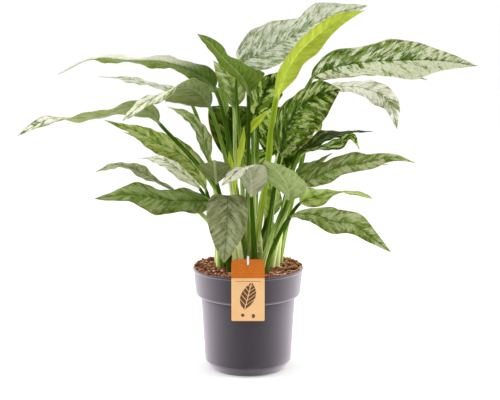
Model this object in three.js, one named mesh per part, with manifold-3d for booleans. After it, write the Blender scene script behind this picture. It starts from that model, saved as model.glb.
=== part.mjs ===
// A potted Chinese evergreen: a plastic nursery pot filled with soil, the short canes that stand in it, the
// large leaves that grow round each cane on long stalks, and a card tag that hangs from a plastic hook.
// Millimetres, +Z up. The origin is the centre of the pot's underside, +X is to the right and -Y is the front.
import * as THREE from "three";
import { mergeVertices } from "three/addons/utils/BufferGeometryUtils.js";
import Module from "manifold-3d";

const wasm = await Module();
wasm.setup();

// ---- Driving dimensions ------------------------------------------------------------------------------------

const GAP = 0.3; // left between pieces that touch

const POT = {
  rimRadius: 85,
  height: 160,
  collarBase: 116, // height at which the collar starts
  collarRadius: 80.5, // the collar's radius at its lower edge
  bodyTopRadius: 73,
  bodyBaseRadius: 67,
  footRadius: 58,
  footHeight: 11, // of the sloped band between the foot and the body
  padRadius: 16, // the flat pad in the middle of the underside
  channelDepth: 3, // the underside's raised ring, where the drain holes are
  wall: 1.6,
  sides: 32,
  drainHoles: 8,
  drainRadius: 5,
  drainCircle: 33,
};

const SOIL = {
  edge: 157, // height of the soil at the wall
  crown: 161, // and in the middle
  relief: 1.3, // how far the crumbs stand up or dip
  rings: [75, 60, 44, 26],
};

const STALK = {
  buried: 20, // length below the soil's surface
  footRadius: 4.8,
  neckRadius: 2.6, // where the stalk meets the blade
  rise: 3, // height above the soil at which it starts to lean
  steps: 3,
  holeSides: 6,
};

const BLADE = {
  thickness: 0.8,
  edge: 0.6,
  keel: 2.2, // how far the midrib stands below the blade at its base
  arch: 0.14, // how far the blade's halves curve down, as a share of their width
  stations: [0.03, 0.1, 0.19, 0.29, 0.4, 0.52, 0.64, 0.76, 0.88, 1],
  across: [1, 0.5, 0, -0.5, -1], // from the left margin to the right one
  toWidest: 0.75, // powers of the outline's two ends: a rounded base and a fine tip
  toTip: 1.05,
  tipHalf: 0.5,
};

const CANE = { radius: 5.4, tipRadius: 2, sides: 8, rings: 2, ringHeight: 0.5 };

const TAG = {
  width: 50,
  length: 95,
  thickness: 0.8,
  bottom: 95, // height of its lower edge
  cornerRadius: 7,
  footCornerRadius: 2,
  holeRadius: 3,
  holeDrop: 7, // from the tag's upper edge to the hole's centre
  standOff: 85.6, // distance of its back face from the pot's axis
};

const HOOK = {
  width: 3.2,
  bar: 2, // thickness of the strip, seen from the side
  standY: -75, // the upright's centre line
  buried: 30,
  reach: 5, // how far the nose stands in front of the tag
  nose: 13, // height of the nose
};

// Where each cane stands, and how far it rises out of the soil.
const CANES = [
  { name: "cane_middle", at: [0, 2], rise: 95 },
  { name: "cane_left", at: [-34, -6], rise: 60 },
  { name: "cane_front_left", at: [-17, -37], rise: 55 },
  { name: "cane_front_right", at: [18, -38], rise: 60 },
  { name: "cane_right", at: [34, -5], rise: 70 },
  { name: "cane_back_right", at: [17, 38], rise: 75 },
  { name: "cane_back_left", at: [-18, 38], rise: 70 },
  { name: "cane_far_right", at: [40, 32], rise: 60 },
  { name: "cane_far_left", at: [-38, 30], rise: 60 },
  { name: "cane_back", at: [1, 62], rise: 70 },
];

// The leaves. Of each: the cane that it grows beside and the side of it, in degrees from +X; how far the stalk
// has leaned out at half its height; the collar, where the blade begins, the midrib's points and the tip; half
// the blade's width; how far the blade is rolled about its midrib at the base, the middle and the tip, in
// degrees, the left margin up; how far its halves fold up; and the waves of its margin: their height, how many
// there are and where they start. Where the margins bulge or draw in, edge says how wide the left half and the
// right half are beside the plain outline, at even steps from the base to the tip. A leaf with no tone is green.
const LEAVES = [
  // The left side, from the top down.
  { by: [0, 190], lean: 0.3, half: 27, roll: [50, 19, 22], fold: 12, wave: [4, 3.5, -0.02],
    edge: [[1.45, 1.45, 0.75, 1.3, 0.9, 0.95, 0.95], [0.9, 0.9, 0.9, 0.95, 1.1, 0.95, 0.95]],
    line: [[-50, -10, 436], [-81, -32, 464], [-123, -48, 480], [-177, -60, 484], [-227, -72, 489],
          [-278, -85, 467]] },
  { by: [8, 205], lean: 0.1, half: 25, roll: [0, 0, 0], fold: 12, wave: [2, 2, 0.5], tone: "silver",
    line: [[-95, 75, 415], [-115, 90, 422], [-155, 108, 432], [-195, 122, 440], [-240, 135, 442]] },
  { by: [2, 256], lean: 0.12, half: 33, roll: [60, 22, -30], fold: 4, wave: [4, 2.6, 0.13],
    edge: [[0.8, 0.8, 0.75, 1.05, 1.1, 0.8, 0.8], [1.25, 1.25, 1.4, 1.15, 0.95, 1.2, 1.2]],
    line: [[-57, -55, 414], [-75, -66, 440], [-101, -98, 448], [-144, -118, 432], [-181, -128, 404]] },
  { by: [1, 295], lean: 0.15, half: 25, roll: [50, 19, -34], fold: 12, wave: [5.5, 2.1, 0.13],
    edge: [[1.1, 1.1, 1, 0.95, 0.95, 0.9, 0.9], [1.05, 1.05, 0.95, 1.1, 0.9, 1.15, 1.15]],
    line: [[-132, -70, 393], [-144, -75, 409], [-176, -80, 417], [-211, -88, 406], [-245, -97, 403],
          [-286, -105, 404], [-335, -115, 380]] },
  { by: [1, 240], lean: 0.4, half: 24, roll: [-45, -42, -22], fold: 12, wave: [2, 2.9, -0.03],
    edge: [[0.95, 0.95, 0.85, 1, 1.05, 0.95, 0.95], [1, 1, 1, 1.15, 0.95, 0.9, 0.9]],
    line: [[-64, -20, 283], [-77, -24, 311], [-97, -30, 337], [-133, -40, 358], [-170, -50, 379],
          [-213, -60, 396]] },
  { by: [1, 130], lean: 0.15, half: 22, roll: [-10, -10, 0], fold: 12, wave: [2, 2, 0.4], tone: "silver",
    line: [[-75, 15, 280], [-100, 30, 300], [-135, 50, 320], [-175, 65, 320]] },
  { by: [1, 185], lean: 0.1, half: 14, roll: [-2, -14, -28], fold: 17, wave: [3.5, 2.3, -0.1], tone: "silver",
    edge: [[1, 1, 0.95, 0.95, 1.25, 1.05, 1.05], [0.85, 0.85, 0.75, 1.05, 1.1, 1.1, 1.1]],
    line: [[-112, 10, 275], [-136, 20, 287], [-165, 32, 302], [-201, 48, 312], [-241, 66, 298]] },
  { by: [2, 204], lean: 0.6, half: 29, roll: [-34, -35, -26], fold: 7, wave: [5, 2.3, 0.48],
    edge: [[1.1, 1.1, 0.95, 1.1, 0.95, 1, 1], [1.05, 1.05, 0.9, 0.95, 1.1, 1, 1]],
    line: [[-52, -72, 272], [-79, -88, 279], [-107, -102, 282], [-143, -118, 290], [-179, -132, 296],
          [-221, -148, 293]] },
  // The front, low down.
  { by: [2, 150], lean: 0.25, half: 24, roll: [0, 0, 0], fold: 20, wave: [1.5, 1.5, 0.2],
    line: [[-46, -80, 305], [-48, -100, 325], [-48, -125, 338], [-48, -152, 350]] },
  { by: [2, 318], lean: 0.35, half: 31, roll: [0, 0, 0], fold: 12, wave: [1.5, 2, 0.2],
    line: [[-30, -88, 280], [-30, -110, 290], [-30, -145, 260], [-35, -138, 195]] },
  { by: [3, 225], lean: 0.4, half: 26, roll: [0, 10, 0], fold: 14, wave: [2, 1.5, 0.5], tone: "silver",
    line: [[5, -78, 285], [5, -95, 315], [-5, -122, 335], [-38, -148, 312]] },
  { by: [3, 280], lean: 0.4, half: 34, roll: [0, 0, 0], fold: 12, wave: [1.5, 1.5, 0],
    line: [[60, -75, 280], [57, -95, 305], [40, -115, 332], [24, -135, 347]] },
  // The top.
  { by: [0, 270], lean: 0.5, half: 30, roll: [32, -1, 26], fold: 16, wave: [2.5, 1.5, -0.12],
    edge: [[0.95, 0.95, 1.55, 1.15, 0.8, 1.05, 1.05], [0.7, 0.7, 0.85, 1.05, 1, 1, 1]],
    line: [[0, -25, 432], [-5, -45, 454], [-17, -60, 470], [-39, -72, 493], [-55, -85, 512],
          [-73, -92, 526]] },
  { by: [6, 20], lean: 0.4, half: 41, roll: [60, 46, 47], fold: 10, wave: [4.5, 2.9, 0.34], tone: "silver",
    edge: [[1.5, 1.5, 1.15, 0.85, 1.05, 0.95, 0.95], [1.15, 1.15, 0.9, 1.05, 0.95, 1.05, 1.05]],
    line: [[-13, 60, 466], [21, 72, 485], [57, 80, 503], [93, 72, 524], [130, 62, 545], [183, 45, 560]] },
  { by: [5, 140], lean: 0.3, half: 30, roll: [20, 30, 30], fold: 10, wave: [3, 2, 0.3],
    line: [[10, 52, 390], [20, 62, 410], [35, 72, 435], [60, 80, 455]] },
  { by: [0, 20], lean: 0.5, half: 19, roll: [-67, -91, -62], fold: 35, wave: [1, 1, 0.28], tone: "young",
    edge: [[1.3, 1.3, 0.95, 1.2, 1, 1.05, 1.05], [1.05, 1.05, 0.8, 0.85, 0.9, 1.05, 1.05]],
    line: [[44, 20, 421], [57, 16, 455], [75, 10, 486], [99, 2, 512], [133, -6, 539], [175, -12, 556]] },
  { by: [4, 100], lean: 0.2, half: 31, roll: [64, 56, 82], fold: 13, wave: [6, 1.9, 0.2],
    edge: [[1.3, 1.3, 1, 1.1, 1.1, 0.95, 0.95], [0.75, 0.75, 0.85, 0.95, 1.2, 1, 1]],
    line: [[96, 0, 450], [115, -12, 464], [160, -30, 478], [226, -55, 485], [283, -72, 486],
          [335, -85, 479]] },
  // The right side, from the top down.
  { by: [7, 15], lean: 0.4, half: 22, roll: [14, 33, 43], fold: 13, wave: [3, 1.9, 0.21], tone: "silver",
    edge: [[0.9, 0.9, 0.95, 0.9, 1, 1.2, 1.2], [0.95, 0.95, 0.95, 0.95, 1.2, 0.95, 0.95]],
    line: [[121, 66, 430], [149, 50, 435], [183, 30, 433], [215, 14, 417], [228, 0, 375]] },
  { by: [3, 50], lean: 0.4, half: 48, roll: [70, 52, 73], fold: -4, wave: [2, 2.3, 0.34],
    edge: [[1.1, 1.1, 1, 0.8, 0.8, 1.05, 1.05], [0.95, 0.95, 1, 1.05, 1.3, 1.45, 1.45]],
    line: [[48, -45, 340], [58, -52, 381], [69, -60, 405], [86, -68, 425], [108, -75, 437],
          [136, -80, 444]] },
  { by: [7, 322], lean: 0.48, half: 23, roll: [13, 6, -3], fold: 11, wave: [2, 2.2, 0.34],
    edge: [[1, 1, 1.1, 1.05, 0.9, 1.05, 1.05], [1.05, 1.05, 1.1, 0.95, 1.05, 0.95, 0.95]],
    line: [[76, 25, 333], [98, 33, 344], [121, 40, 359], [151, 48, 363], [195, 56, 364]] },
  { by: [4, 340], lean: 0.3, half: 19, roll: [-8, 20, 28], fold: 11, wave: [2.5, 1.7, 0.36],
    edge: [[0.9, 0.9, 0.95, 0.9, 1.05, 0.85, 0.85], [0.95, 0.95, 1.05, 0.85, 1.15, 0.85, 0.85]],
    line: [[80, -16, 337], [108, -30, 350], [136, -42, 358], [155, -48, 371], [167, -50, 351]] },
  { by: [4, 40], lean: 0.35, half: 17, roll: [20, 20, 0], fold: 12, wave: [2, 2, 0.3],
    line: [[62, 3, 283], [80, 4, 303], [105, 8, 320], [130, 14, 336]] },
  { by: [4, 285], lean: 0.35, half: 21, roll: [56, 46, 23], fold: 10, wave: [2.5, 1.7, 0.22],
    edge: [[1, 1, 1.1, 1.1, 0.8, 0.95, 0.95], [1, 1, 1.1, 0.8, 0.85, 0.95, 0.95]],
    line: [[76, -32, 291], [104, -50, 309], [138, -68, 327], [174, -84, 336], [213, -97, 346],
          [245, -105, 339]] },
  { by: [7, 262], lean: 0.35, half: 26, roll: [66, -6, -7], fold: 14, wave: [2, 1.7, 0.29],
    edge: [[1.2, 1.2, 1.1, 0.95, 1, 0.95, 0.95], [1.2, 1.2, 0.9, 0.9, 1, 1.05, 1.05]],
    line: [[80, 10, 257], [112, 25, 267], [142, 42, 270], [172, 58, 265], [199, 72, 253]] },
  { by: [3, 335], lean: 0.35, half: 21, roll: [22, 45, 47], fold: 12, wave: [3, 2, 0.31],
    edge: [[0.9, 0.9, 1.15, 0.95, 1.1, 1, 1], [0.95, 0.95, 0.9, 1.05, 0.9, 0.9, 0.9]],
    line: [[65, -50, 248], [98, -75, 256], [125, -98, 250], [153, -118, 251], [183, -132, 231],
          [209, -140, 212]] },
  // The inside of the plant.
  { by: [8, 270], lean: 0.2, half: 27, roll: [0, 0, 0], fold: 12, wave: [2, 2, 0.3], tone: "silver",
    line: [[-60, 15, 320], [-70, 22, 360], [-90, 30, 390], [-125, 38, 405]] },
  { by: [0, 110], lean: 0.5, half: 22, roll: [0, 0, 0], fold: 12, wave: [2, 2, 0.3],
    line: [[-35, 20, 395], [-40, 15, 420], [-55, 10, 440], [-75, 0, 455]] },
  { by: [6, 90], lean: 0.5, half: 26, roll: [0, 0, 0], fold: 12, wave: [2, 2, 0.3], tone: "silver",
    line: [[-22, 66, 400], [-25, 78, 425], [-35, 92, 450], [-55, 107, 470]] },
  { by: [5, 230], lean: 0.5, half: 18, roll: [0, 0, 0], fold: 12, wave: [2, 2, 0.3],
    line: [[30, 12, 235], [34, 20, 250], [36, 28, 270], [32, 36, 290]] },
  // The back.
  { by: [8, 75], lean: 0.1, half: 26, roll: [0, -10, 0], fold: 12, wave: [2, 2, 0.3],
    line: [[-62, 80, 290], [-100, 108, 315], [-152, 145, 338], [-205, 185, 345]] },
  { by: [8, 140], lean: 0.1, half: 26, roll: [0, -10, 0], fold: 12, wave: [2, 2, 0.3],
    line: [[-70, 65, 245], [-110, 90, 245], [-160, 125, 245], [-230, 160, 240]] },
  { by: [7, 75], lean: 0.1, half: 26, roll: [0, 10, 0], fold: 12, wave: [2, 2, 0.3],
    line: [[80, 60, 280], [120, 95, 295], [175, 130, 300], [230, 160, 295]] },
  { by: [5, 30], lean: 0.4, half: 26, roll: [0, 10, 0], fold: 12, wave: [2, 2, 0.3],
    line: [[62, 72, 222], [105, 105, 218], [155, 145, 205], [200, 180, 175]] },
  { by: [5, 330], lean: 0.15, half: 28, roll: [20, 30, 20], fold: 12, wave: [2, 2, 0.3],
    line: [[110, 75, 440], [155, 97, 457], [220, 122, 460], [290, 155, 435]] },
  { by: [9, 30], lean: 0.35, half: 30, roll: [20, 20, 20], fold: 12, wave: [2, 2, 0.3],
    line: [[20, 105, 470], [40, 132, 495], [72, 168, 505], [125, 222, 480]] },
  { by: [9, 150], lean: 0.35, half: 38, roll: [0, 0, 0], fold: 12, wave: [2, 2, 0.3],
    line: [[-24, 90, 310], [-26, 110, 360], [-28, 150, 390], [-28, 230, 370]] },
  { by: [9, 90], lean: 0.35, half: 30, roll: [0, 0, 0], fold: 12, wave: [2, 2, 0.3],
    line: [[5, 110, 260], [8, 130, 300], [12, 170, 318], [18, 240, 270]] },
  { by: [5, 85], lean: 0.35, half: 34, roll: [0, 0, 0], fold: 12, wave: [2, 2, 0.3],
    line: [[58, 85, 290], [70, 105, 340], [88, 145, 368], [120, 215, 340]] },
  { by: [9, 330], lean: 0.35, half: 32, roll: [0, 0, 0], fold: 12, wave: [2, 2, 0.3],
    line: [[35, 80, 320], [42, 95, 365], [50, 125, 392], [60, 182, 380]] },
];

// Of a leaf whose margins follow the plain outline.
const PLAIN = [[1, 1], [1, 1]];

const TONES = { green: 0x567f38, silver: 0x93a67f, young: 0x9dbb3a };

// ---- Small helpers -----------------------------------------------------------------------------------------

const { degToRad, lerp, clamp, smoothstep } = THREE.MathUtils;
const UP = new THREE.Vector3(0, 0, 1);

function finish(color, roughness) {
  return new THREE.MeshStandardMaterial({ color, roughness, metalness: 0 });
}

function named(name, geometry, material) {
  const made = new THREE.Mesh(geometry, material);
  made.name = name;
  return made;
}

// A closed geometry as a manifold-3d solid, for cutting.
function solid(geometry) {
  const bare = geometry.clone();
  bare.deleteAttribute("normal");
  bare.deleteAttribute("uv");
  const merged = mergeVertices(bare, 1e-4);
  return new wasm.Manifold(
    new wasm.Mesh({
      numProp: 3,
      vertProperties: merged.getAttribute("position").array,
      triVerts: new Uint32Array(merged.index.array),
    }),
  );
}

function geometryOf(cut) {
  const got = cut.getMesh();
  const geometry = new THREE.BufferGeometry();
  geometry.setAttribute("position", new THREE.BufferAttribute(got.vertProperties, 3));
  geometry.setIndex(new THREE.BufferAttribute(got.triVerts, 1));
  geometry.computeVertexNormals();
  return geometry;
}

// A lathed solid about +Z from [radius, height] pairs.
function lathe(profile, sides) {
  const turned = new THREE.LatheGeometry(profile.map(([r, z]) => new THREE.Vector2(r, z)), sides);
  return turned.rotateX(Math.PI / 2);
}

// An upright cylinder whose flats clear the given radius.
function post(radius, low, high, x, y, sides) {
  const outer = radius / Math.cos(Math.PI / sides);
  const made = new THREE.CylinderGeometry(outer, outer, high - low, sides);
  return made.rotateX(Math.PI / 2).translate(x, y, (low + high) / 2);
}

// ---- Pot and soil ------------------------------------------------------------------------------------------

// The inside of the pot, from the middle of its floor up to the rim.
const INSIDE = [
  [0, POT.wall],
  [POT.padRadius + 1, POT.wall],
  [POT.padRadius + 3, POT.wall + POT.channelDepth],
  [POT.footRadius - 10, POT.wall + POT.channelDepth],
  [POT.footRadius - 8, POT.wall],
  [POT.footRadius - 2, POT.wall],
  [POT.bodyBaseRadius - 3.2, POT.footHeight],
  [POT.bodyBaseRadius - POT.wall, POT.footHeight + 4],
  [POT.bodyTopRadius - POT.wall, POT.collarBase + 1.2],
  [POT.collarRadius - POT.wall - 1, POT.collarBase + 3],
  [POT.collarRadius - POT.wall + 0.4, POT.collarBase + 5.5],
  [POT.rimRadius - POT.wall - 1, POT.height - 4],
];

function pot() {
  const outside = [
    [POT.rimRadius - POT.wall - 1, POT.height - 0.6],
    [POT.rimRadius - 1, POT.height],
    [POT.rimRadius + 0.6, POT.height - 1],
    [POT.rimRadius + 0.6, POT.height - 3.2],
    [POT.rimRadius - 0.6, POT.height - 4.4],
    [POT.collarRadius + 0.6, POT.collarBase + 4],
    [POT.collarRadius - 1.2, POT.collarBase + 0.8],
    [POT.collarRadius - 3.4, POT.collarBase],
    [POT.bodyTopRadius, POT.collarBase - 1],
    [POT.bodyBaseRadius, POT.footHeight + 3],
    [POT.bodyBaseRadius - 1.6, POT.footHeight],
    [POT.footRadius + 1, 1.5],
    [POT.footRadius - 1, 0],
    [POT.footRadius - 7, 0],
    [POT.footRadius - 9, POT.channelDepth],
    [POT.padRadius + 2, POT.channelDepth],
    [POT.padRadius, 0],
    [0, 0],
  ];
  let shell = solid(lathe([...outside].reverse().concat([...INSIDE].reverse()), POT.sides));
  for (let i = 0; i < POT.drainHoles; i++) {
    const angle = (2 * Math.PI * i) / POT.drainHoles;
    const x = POT.drainCircle * Math.cos(angle);
    const y = POT.drainCircle * Math.sin(angle);
    shell = shell.subtract(solid(post(POT.drainRadius, -1, 2 * POT.footHeight, x, y, 10)));
  }
  return named("pot", geometryOf(shell), finish(0x4b4a50, 0.45));
}

// Crumbs of the soil's surface, as a smooth formula of place.
function crumb(x, y) {
  const coarse = Math.sin(0.31 * x + 1.7) * Math.cos(0.27 * y - 0.6);
  const fine = Math.sin(0.83 * x - 0.49 * y) + Math.cos(0.71 * y + 0.37 * x + 2.1);
  return SOIL.relief * (0.6 * coarse + 0.4 * fine);
}

function soil(holes) {
  const floor = POT.wall + POT.channelDepth + GAP;
  const filled = [
    [0, floor],
    [POT.footRadius - 2 - GAP, floor],
    ...INSIDE.slice(6, -1).map(([r, z]) => [r - GAP, z + GAP]),
  ];
  const edge = [POT.rimRadius - POT.wall - 1 - GAP, SOIL.edge - 1.5];
  const top = SOIL.rings.map((r) => {
    const share = r / POT.rimRadius;
    return [r, lerp(SOIL.crown, SOIL.edge, share * share)];
  });
  const body = lathe([...filled, edge, ...top, [0, SOIL.crown]], POT.sides);
  const place = body.getAttribute("position");
  for (let i = 0; i < place.count; i++) {
    const [x, y, z] = [place.getX(i), place.getY(i), place.getZ(i)];
    const inside = Math.hypot(x, y) < SOIL.rings[0] + 1;
    if (z > SOIL.edge - 2 && inside) place.setZ(i, z + crumb(x, y));
  }
  let ground = solid(body);
  if (holes.length) ground = ground.subtract(wasm.Manifold.union(holes));
  return named("soil", geometryOf(ground), finish(0x6b3d26, 0.95));
}

// ---- Canes -------------------------------------------------------------------------------------------------

function cane({ name, at, rise }) {
  const foot = SOIL.crown - STALK.buried;
  const top = SOIL.crown + rise;
  const profile = [[0, foot], [CANE.radius, foot]];
  for (let i = 1; i <= CANE.rings; i++) {
    const z = lerp(SOIL.crown, top, i / (CANE.rings + 1.5));
    const r = lerp(CANE.radius, CANE.tipRadius, (0.5 * i) / CANE.rings);
    profile.push([r, z - 2], [r + CANE.ringHeight, z], [r - 0.2, z + 2]);
  }
  profile.push([CANE.tipRadius, top], [0, top + 4]);
  const made = named(name, lathe(profile, CANE.sides), finish(0x8fae5a, 0.5));
  made.position.set(at[0], at[1], 0);
  return made;
}

// ---- Leaves ------------------------------------------------------------------------------------------------

// The foot of a leaf's stalk, pressed against its cane.
function footOf({ by: [cane, bearing] }) {
  const [x, y] = CANES[cane].at;
  const out = CANE.radius + CANE.ringHeight + STALK.footRadius + GAP;
  const angle = degToRad(bearing);
  return [x + out * Math.cos(angle), y + out * Math.sin(angle)];
}

// The leaf's spine: up the stalk from below the soil, and on along the midrib to the tip.
function spineOf(spec) {
  const { lean, line } = spec;
  const [x, y] = footOf(spec);
  const [collarX, collarY, collarZ] = line[0];
  const points = [
    [x, y, SOIL.crown - STALK.buried],
    [x, y, SOIL.crown + STALK.rise],
    [lerp(x, collarX, lean), lerp(y, collarY, lean), lerp(SOIL.crown, collarZ, 0.5)],
    ...line,
  ];
  return new THREE.CatmullRomCurve3(points.map((p) => new THREE.Vector3(...p)));
}

// Points and directions along part of a curve, at shares of that part's length.
function stretch(curve, from, to, shares) {
  const samples = 60;
  const points = [];
  for (let i = 0; i <= samples; i++) points.push(curve.getPoint(lerp(from, to, i / samples)));
  const reach = [0];
  for (let i = 1; i <= samples; i++) reach.push(reach[i - 1] + points[i].distanceTo(points[i - 1]));
  return shares.map((share) => {
    const length = share * reach[samples];
    let i = 1;
    while (i < samples && reach[i] < length) i++;
    const between = clamp((length - reach[i - 1]) / (reach[i] - reach[i - 1]), 0, 1);
    const t = lerp(from, to, (i - 1 + between) / samples);
    return { share, point: curve.getPoint(t), along: curve.getTangent(t) };
  });
}

// The directions to the left of a leaf and out of its upper face, rolled about its line.
function facing(along, level, roll) {
  const left = level.clone().addScaledVector(along, -level.dot(along)).normalize();
  const up = new THREE.Vector3().crossVectors(along, left);
  const angle = degToRad(roll);
  return {
    left: left.clone().multiplyScalar(Math.cos(angle)).addScaledVector(up, Math.sin(angle)),
    up: up.clone().multiplyScalar(Math.cos(angle)).addScaledVector(left, -Math.sin(angle)),
  };
}

function rollAt([base, middle, tip], share) {
  const near = base * (1 - share) * (1 - 2 * share);
  return near + middle * 4 * share * (1 - share) + tip * share * (2 * share - 1);
}

// Half the blade's width at a share of its length.
function outline(share) {
  const widest = BLADE.toWidest / (BLADE.toWidest + BLADE.toTip);
  return (share / widest) ** BLADE.toWidest * ((1 - share) / (1 - widest)) ** BLADE.toTip;
}

// How wide a half of the blade is beside the plain outline, at a share of its length.
function bulge(factors, share) {
  const place = share * (factors.length - 1);
  const i = Math.min(Math.floor(place), factors.length - 2);
  return lerp(factors[i], factors[i + 1], smoothstep(place - i, 0, 1));
}

// One ring of the stalk: a circle with as many points as the blade's section has.
function stalkRing({ point, share }, { left, up }) {
  const radius = lerp(STALK.footRadius, STALK.neckRadius, share);
  const count = 2 * BLADE.across.length;
  return Array.from({ length: count }, (_, i) => {
    const angle = (2 * Math.PI * (i + 0.5)) / count;
    const ring = point.clone().addScaledVector(left, radius * Math.cos(angle));
    return ring.addScaledVector(up, radius * Math.sin(angle));
  });
}

// One ring of the blade: its upper face from the left margin to the right, and its lower face back.
function bladeRing({ point, share }, { left, up }, { half, fold, wave: [height, count, phase], edge = PLAIN }) {
  const tilt = degToRad(fold * (1 - 0.4 * share));
  const calm = 4 * share * (1 - share);
  const section = BLADE.across.map((v) => {
    const width = Math.max(BLADE.tipHalf, half * outline(share) * bulge(edge[v < 0 ? 1 : 0], share));
    const turns = count * share + phase + (v < 0 ? 0.3 : 0);
    const wave = height * calm * v * v * Math.sin(2 * Math.PI * turns);
    const lift = width * (Math.sin(tilt) * Math.abs(v) - BLADE.arch * v * v) + wave;
    const middle = point.clone().addScaledVector(left, v * width * Math.cos(tilt));
    return { v, middle: middle.addScaledVector(up, lift) };
  });
  const thick = (v) => (Math.abs(v) === 1 ? BLADE.edge : BLADE.thickness) / 2;
  const keel = (v) => (v === 0 ? BLADE.keel * (1 - share) + 0.2 : 0);
  const upper = section.map(({ v, middle }) => middle.clone().addScaledVector(up, thick(v)));
  const lower = section.map(({ v, middle }) => middle.clone().addScaledVector(up, -thick(v) - keel(v)));
  return [...upper, ...lower.reverse()];
}

// A closed skin over rings of equal count. Facing quads of the two faces are split along matching diagonals,
// so that a thin, waved blade never crosses itself.
function skin(rings) {
  const count = rings[0].length;
  const half = count / 2;
  const corners = [];
  const at = (ring, i) => rings[ring][i % count];
  for (let r = 0; r + 1 < rings.length; r++) {
    for (let i = 0; i < count; i++) {
      const [a, b] = [at(r, i), at(r, i + 1)];
      const [c, d] = [at(r + 1, i + 1), at(r + 1, i)];
      if (i < half) corners.push(a, b, c, a, c, d);
      else corners.push(a, b, d, b, c, d);
    }
  }
  const last = rings.length - 1;
  for (let i = 0; i + 1 < half; i++) {
    const mirrored = count - 1 - i;
    corners.push(at(0, i), at(0, mirrored), at(0, i + 1));
    corners.push(at(0, i + 1), at(0, mirrored), at(0, mirrored - 1));
    corners.push(at(last, i), at(last, i + 1), at(last, mirrored));
    corners.push(at(last, i + 1), at(last, mirrored - 1), at(last, mirrored));
  }
  const geometry = new THREE.BufferGeometry().setFromPoints(corners);
  return mergeVertices(geometry, 1e-4);
}

function leaf(spec, name) {
  const { line, roll, tone = "green" } = spec;
  const spine = spineOf(spec);
  const [ground, collar] = [1, 3].map((i) => i / (2 + line.length));
  const heading = new THREE.Vector3().subVectors(
    new THREE.Vector3(...line[line.length - 1]),
    new THREE.Vector3(...line[0]),
  );
  const level = new THREE.Vector3().crossVectors(UP, heading.setZ(0).normalize());
  const steps = Array.from({ length: STALK.steps + 1 }, (_, i) => i / STALK.steps);
  const foot = { share: 0, point: spine.getPoint(0), along: UP };
  const stalk = [foot, ...stretch(spine, ground, collar, steps)].map((s) =>
    stalkRing(s, facing(s.along, level, roll[0] * s.share)),
  );
  const blade = stretch(spine, collar, 1, BLADE.stations).map((s) =>
    bladeRing(s, facing(s.along, level, rollAt(roll, s.share)), spec),
  );
  const geometry = skin([...stalk, ...blade]);
  geometry.computeVertexNormals();
  return named(name, geometry, finish(TONES[tone], 0.5));
}

// ---- Tag and hook ------------------------------------------------------------------------------------------

function tag() {
  const half = TAG.width / 2;
  const [round, small] = [TAG.cornerRadius, TAG.footCornerRadius];
  const card = new THREE.Shape();
  card.moveTo(-half + small, 0).lineTo(half - small, 0);
  card.absarc(half - small, small, small, -Math.PI / 2, 0);
  card.lineTo(half, TAG.length - round);
  card.absarc(half - round, TAG.length - round, round, 0, Math.PI / 2);
  card.lineTo(-half + round, TAG.length);
  card.absarc(-half + round, TAG.length - round, round, Math.PI / 2, Math.PI);
  card.lineTo(-half, small);
  card.absarc(-half + small, small, small, Math.PI, 1.5 * Math.PI);
  const hole = new THREE.Path();
  hole.absarc(0, TAG.length - TAG.holeDrop, TAG.holeRadius, 0, 2 * Math.PI, true);
  card.holes.push(hole);
  const depth = TAG.thickness;
  const sheet = new THREE.ExtrudeGeometry(card, { depth, bevelEnabled: false, curveSegments: 4 });
  sheet.rotateX(Math.PI / 2);
  const made = named("tag", sheet, finish(0xefb877, 0.6));
  made.position.set(0, -TAG.standOff, TAG.bottom);
  return made;
}

// The hook, drawn from the side: an upright in the soil, a bar through the tag's hole, and a nose.
function hook() {
  const bar = TAG.bottom + TAG.length - TAG.holeDrop;
  const front = -(TAG.standOff + TAG.thickness + HOOK.reach);
  const half = HOOK.bar / 2;
  const side = new THREE.Shape();
  side.moveTo(HOOK.standY, SOIL.edge - HOOK.buried);
  side.lineTo(HOOK.standY + half, SOIL.edge - HOOK.buried + 8);
  side.lineTo(HOOK.standY + half, bar - 1);
  side.lineTo(HOOK.standY - half, bar + half);
  side.lineTo(front + HOOK.bar, bar + half);
  side.lineTo(front + HOOK.bar - 0.4, bar + HOOK.nose);
  side.lineTo(front + 0.4, bar + HOOK.nose);
  side.lineTo(front, bar - half + 1);
  side.lineTo(front + 1, bar - half);
  side.lineTo(HOOK.standY - half - 1, bar - half);
  side.lineTo(HOOK.standY - half, bar - half - 1);
  side.lineTo(HOOK.standY - half, SOIL.edge - HOOK.buried + 8);
  const strip = new THREE.ExtrudeGeometry(side, { depth: HOOK.width, bevelEnabled: false });
  // The outline's two axes become Y and Z, and its depth becomes X.
  const turn = new THREE.Matrix4().makeBasis(new THREE.Vector3(0, 1, 0), UP, new THREE.Vector3(1, 0, 0));
  strip.applyMatrix4(turn).translate(-HOOK.width / 2, 0, 0);
  return named("tag_hook", strip, finish(0xf4f4f0, 0.4));
}

// ---- The plant, put together -------------------------------------------------------------------------------

function holesInSoil() {
  const low = SOIL.crown - STALK.buried - GAP;
  const high = SOIL.crown + 20;
  const canes = CANES.map(({ at }) => post(CANE.radius + GAP, low, high, ...at, STALK.holeSides));
  const stalks = LEAVES.map((spec) => {
    return post(STALK.footRadius + GAP + 0.2, low, high, ...footOf(spec), STALK.holeSides);
  });
  const slot = new THREE.BoxGeometry(HOOK.width + 2 * GAP, HOOK.bar + 2 * GAP, 2 * HOOK.buried + 2 * GAP);
  slot.translate(0, HOOK.standY, SOIL.edge);
  return [...canes, ...stalks, slot].map(solid);
}

const plant = new THREE.Group();
plant.add(pot(), soil(holesInSoil()), tag(), hook());
CANES.forEach((spec) => plant.add(cane(spec)));
LEAVES.forEach((spec, i) => plant.add(leaf(spec, `leaf_${String(i + 1).padStart(2, "0")}`)));

export default plant;
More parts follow.
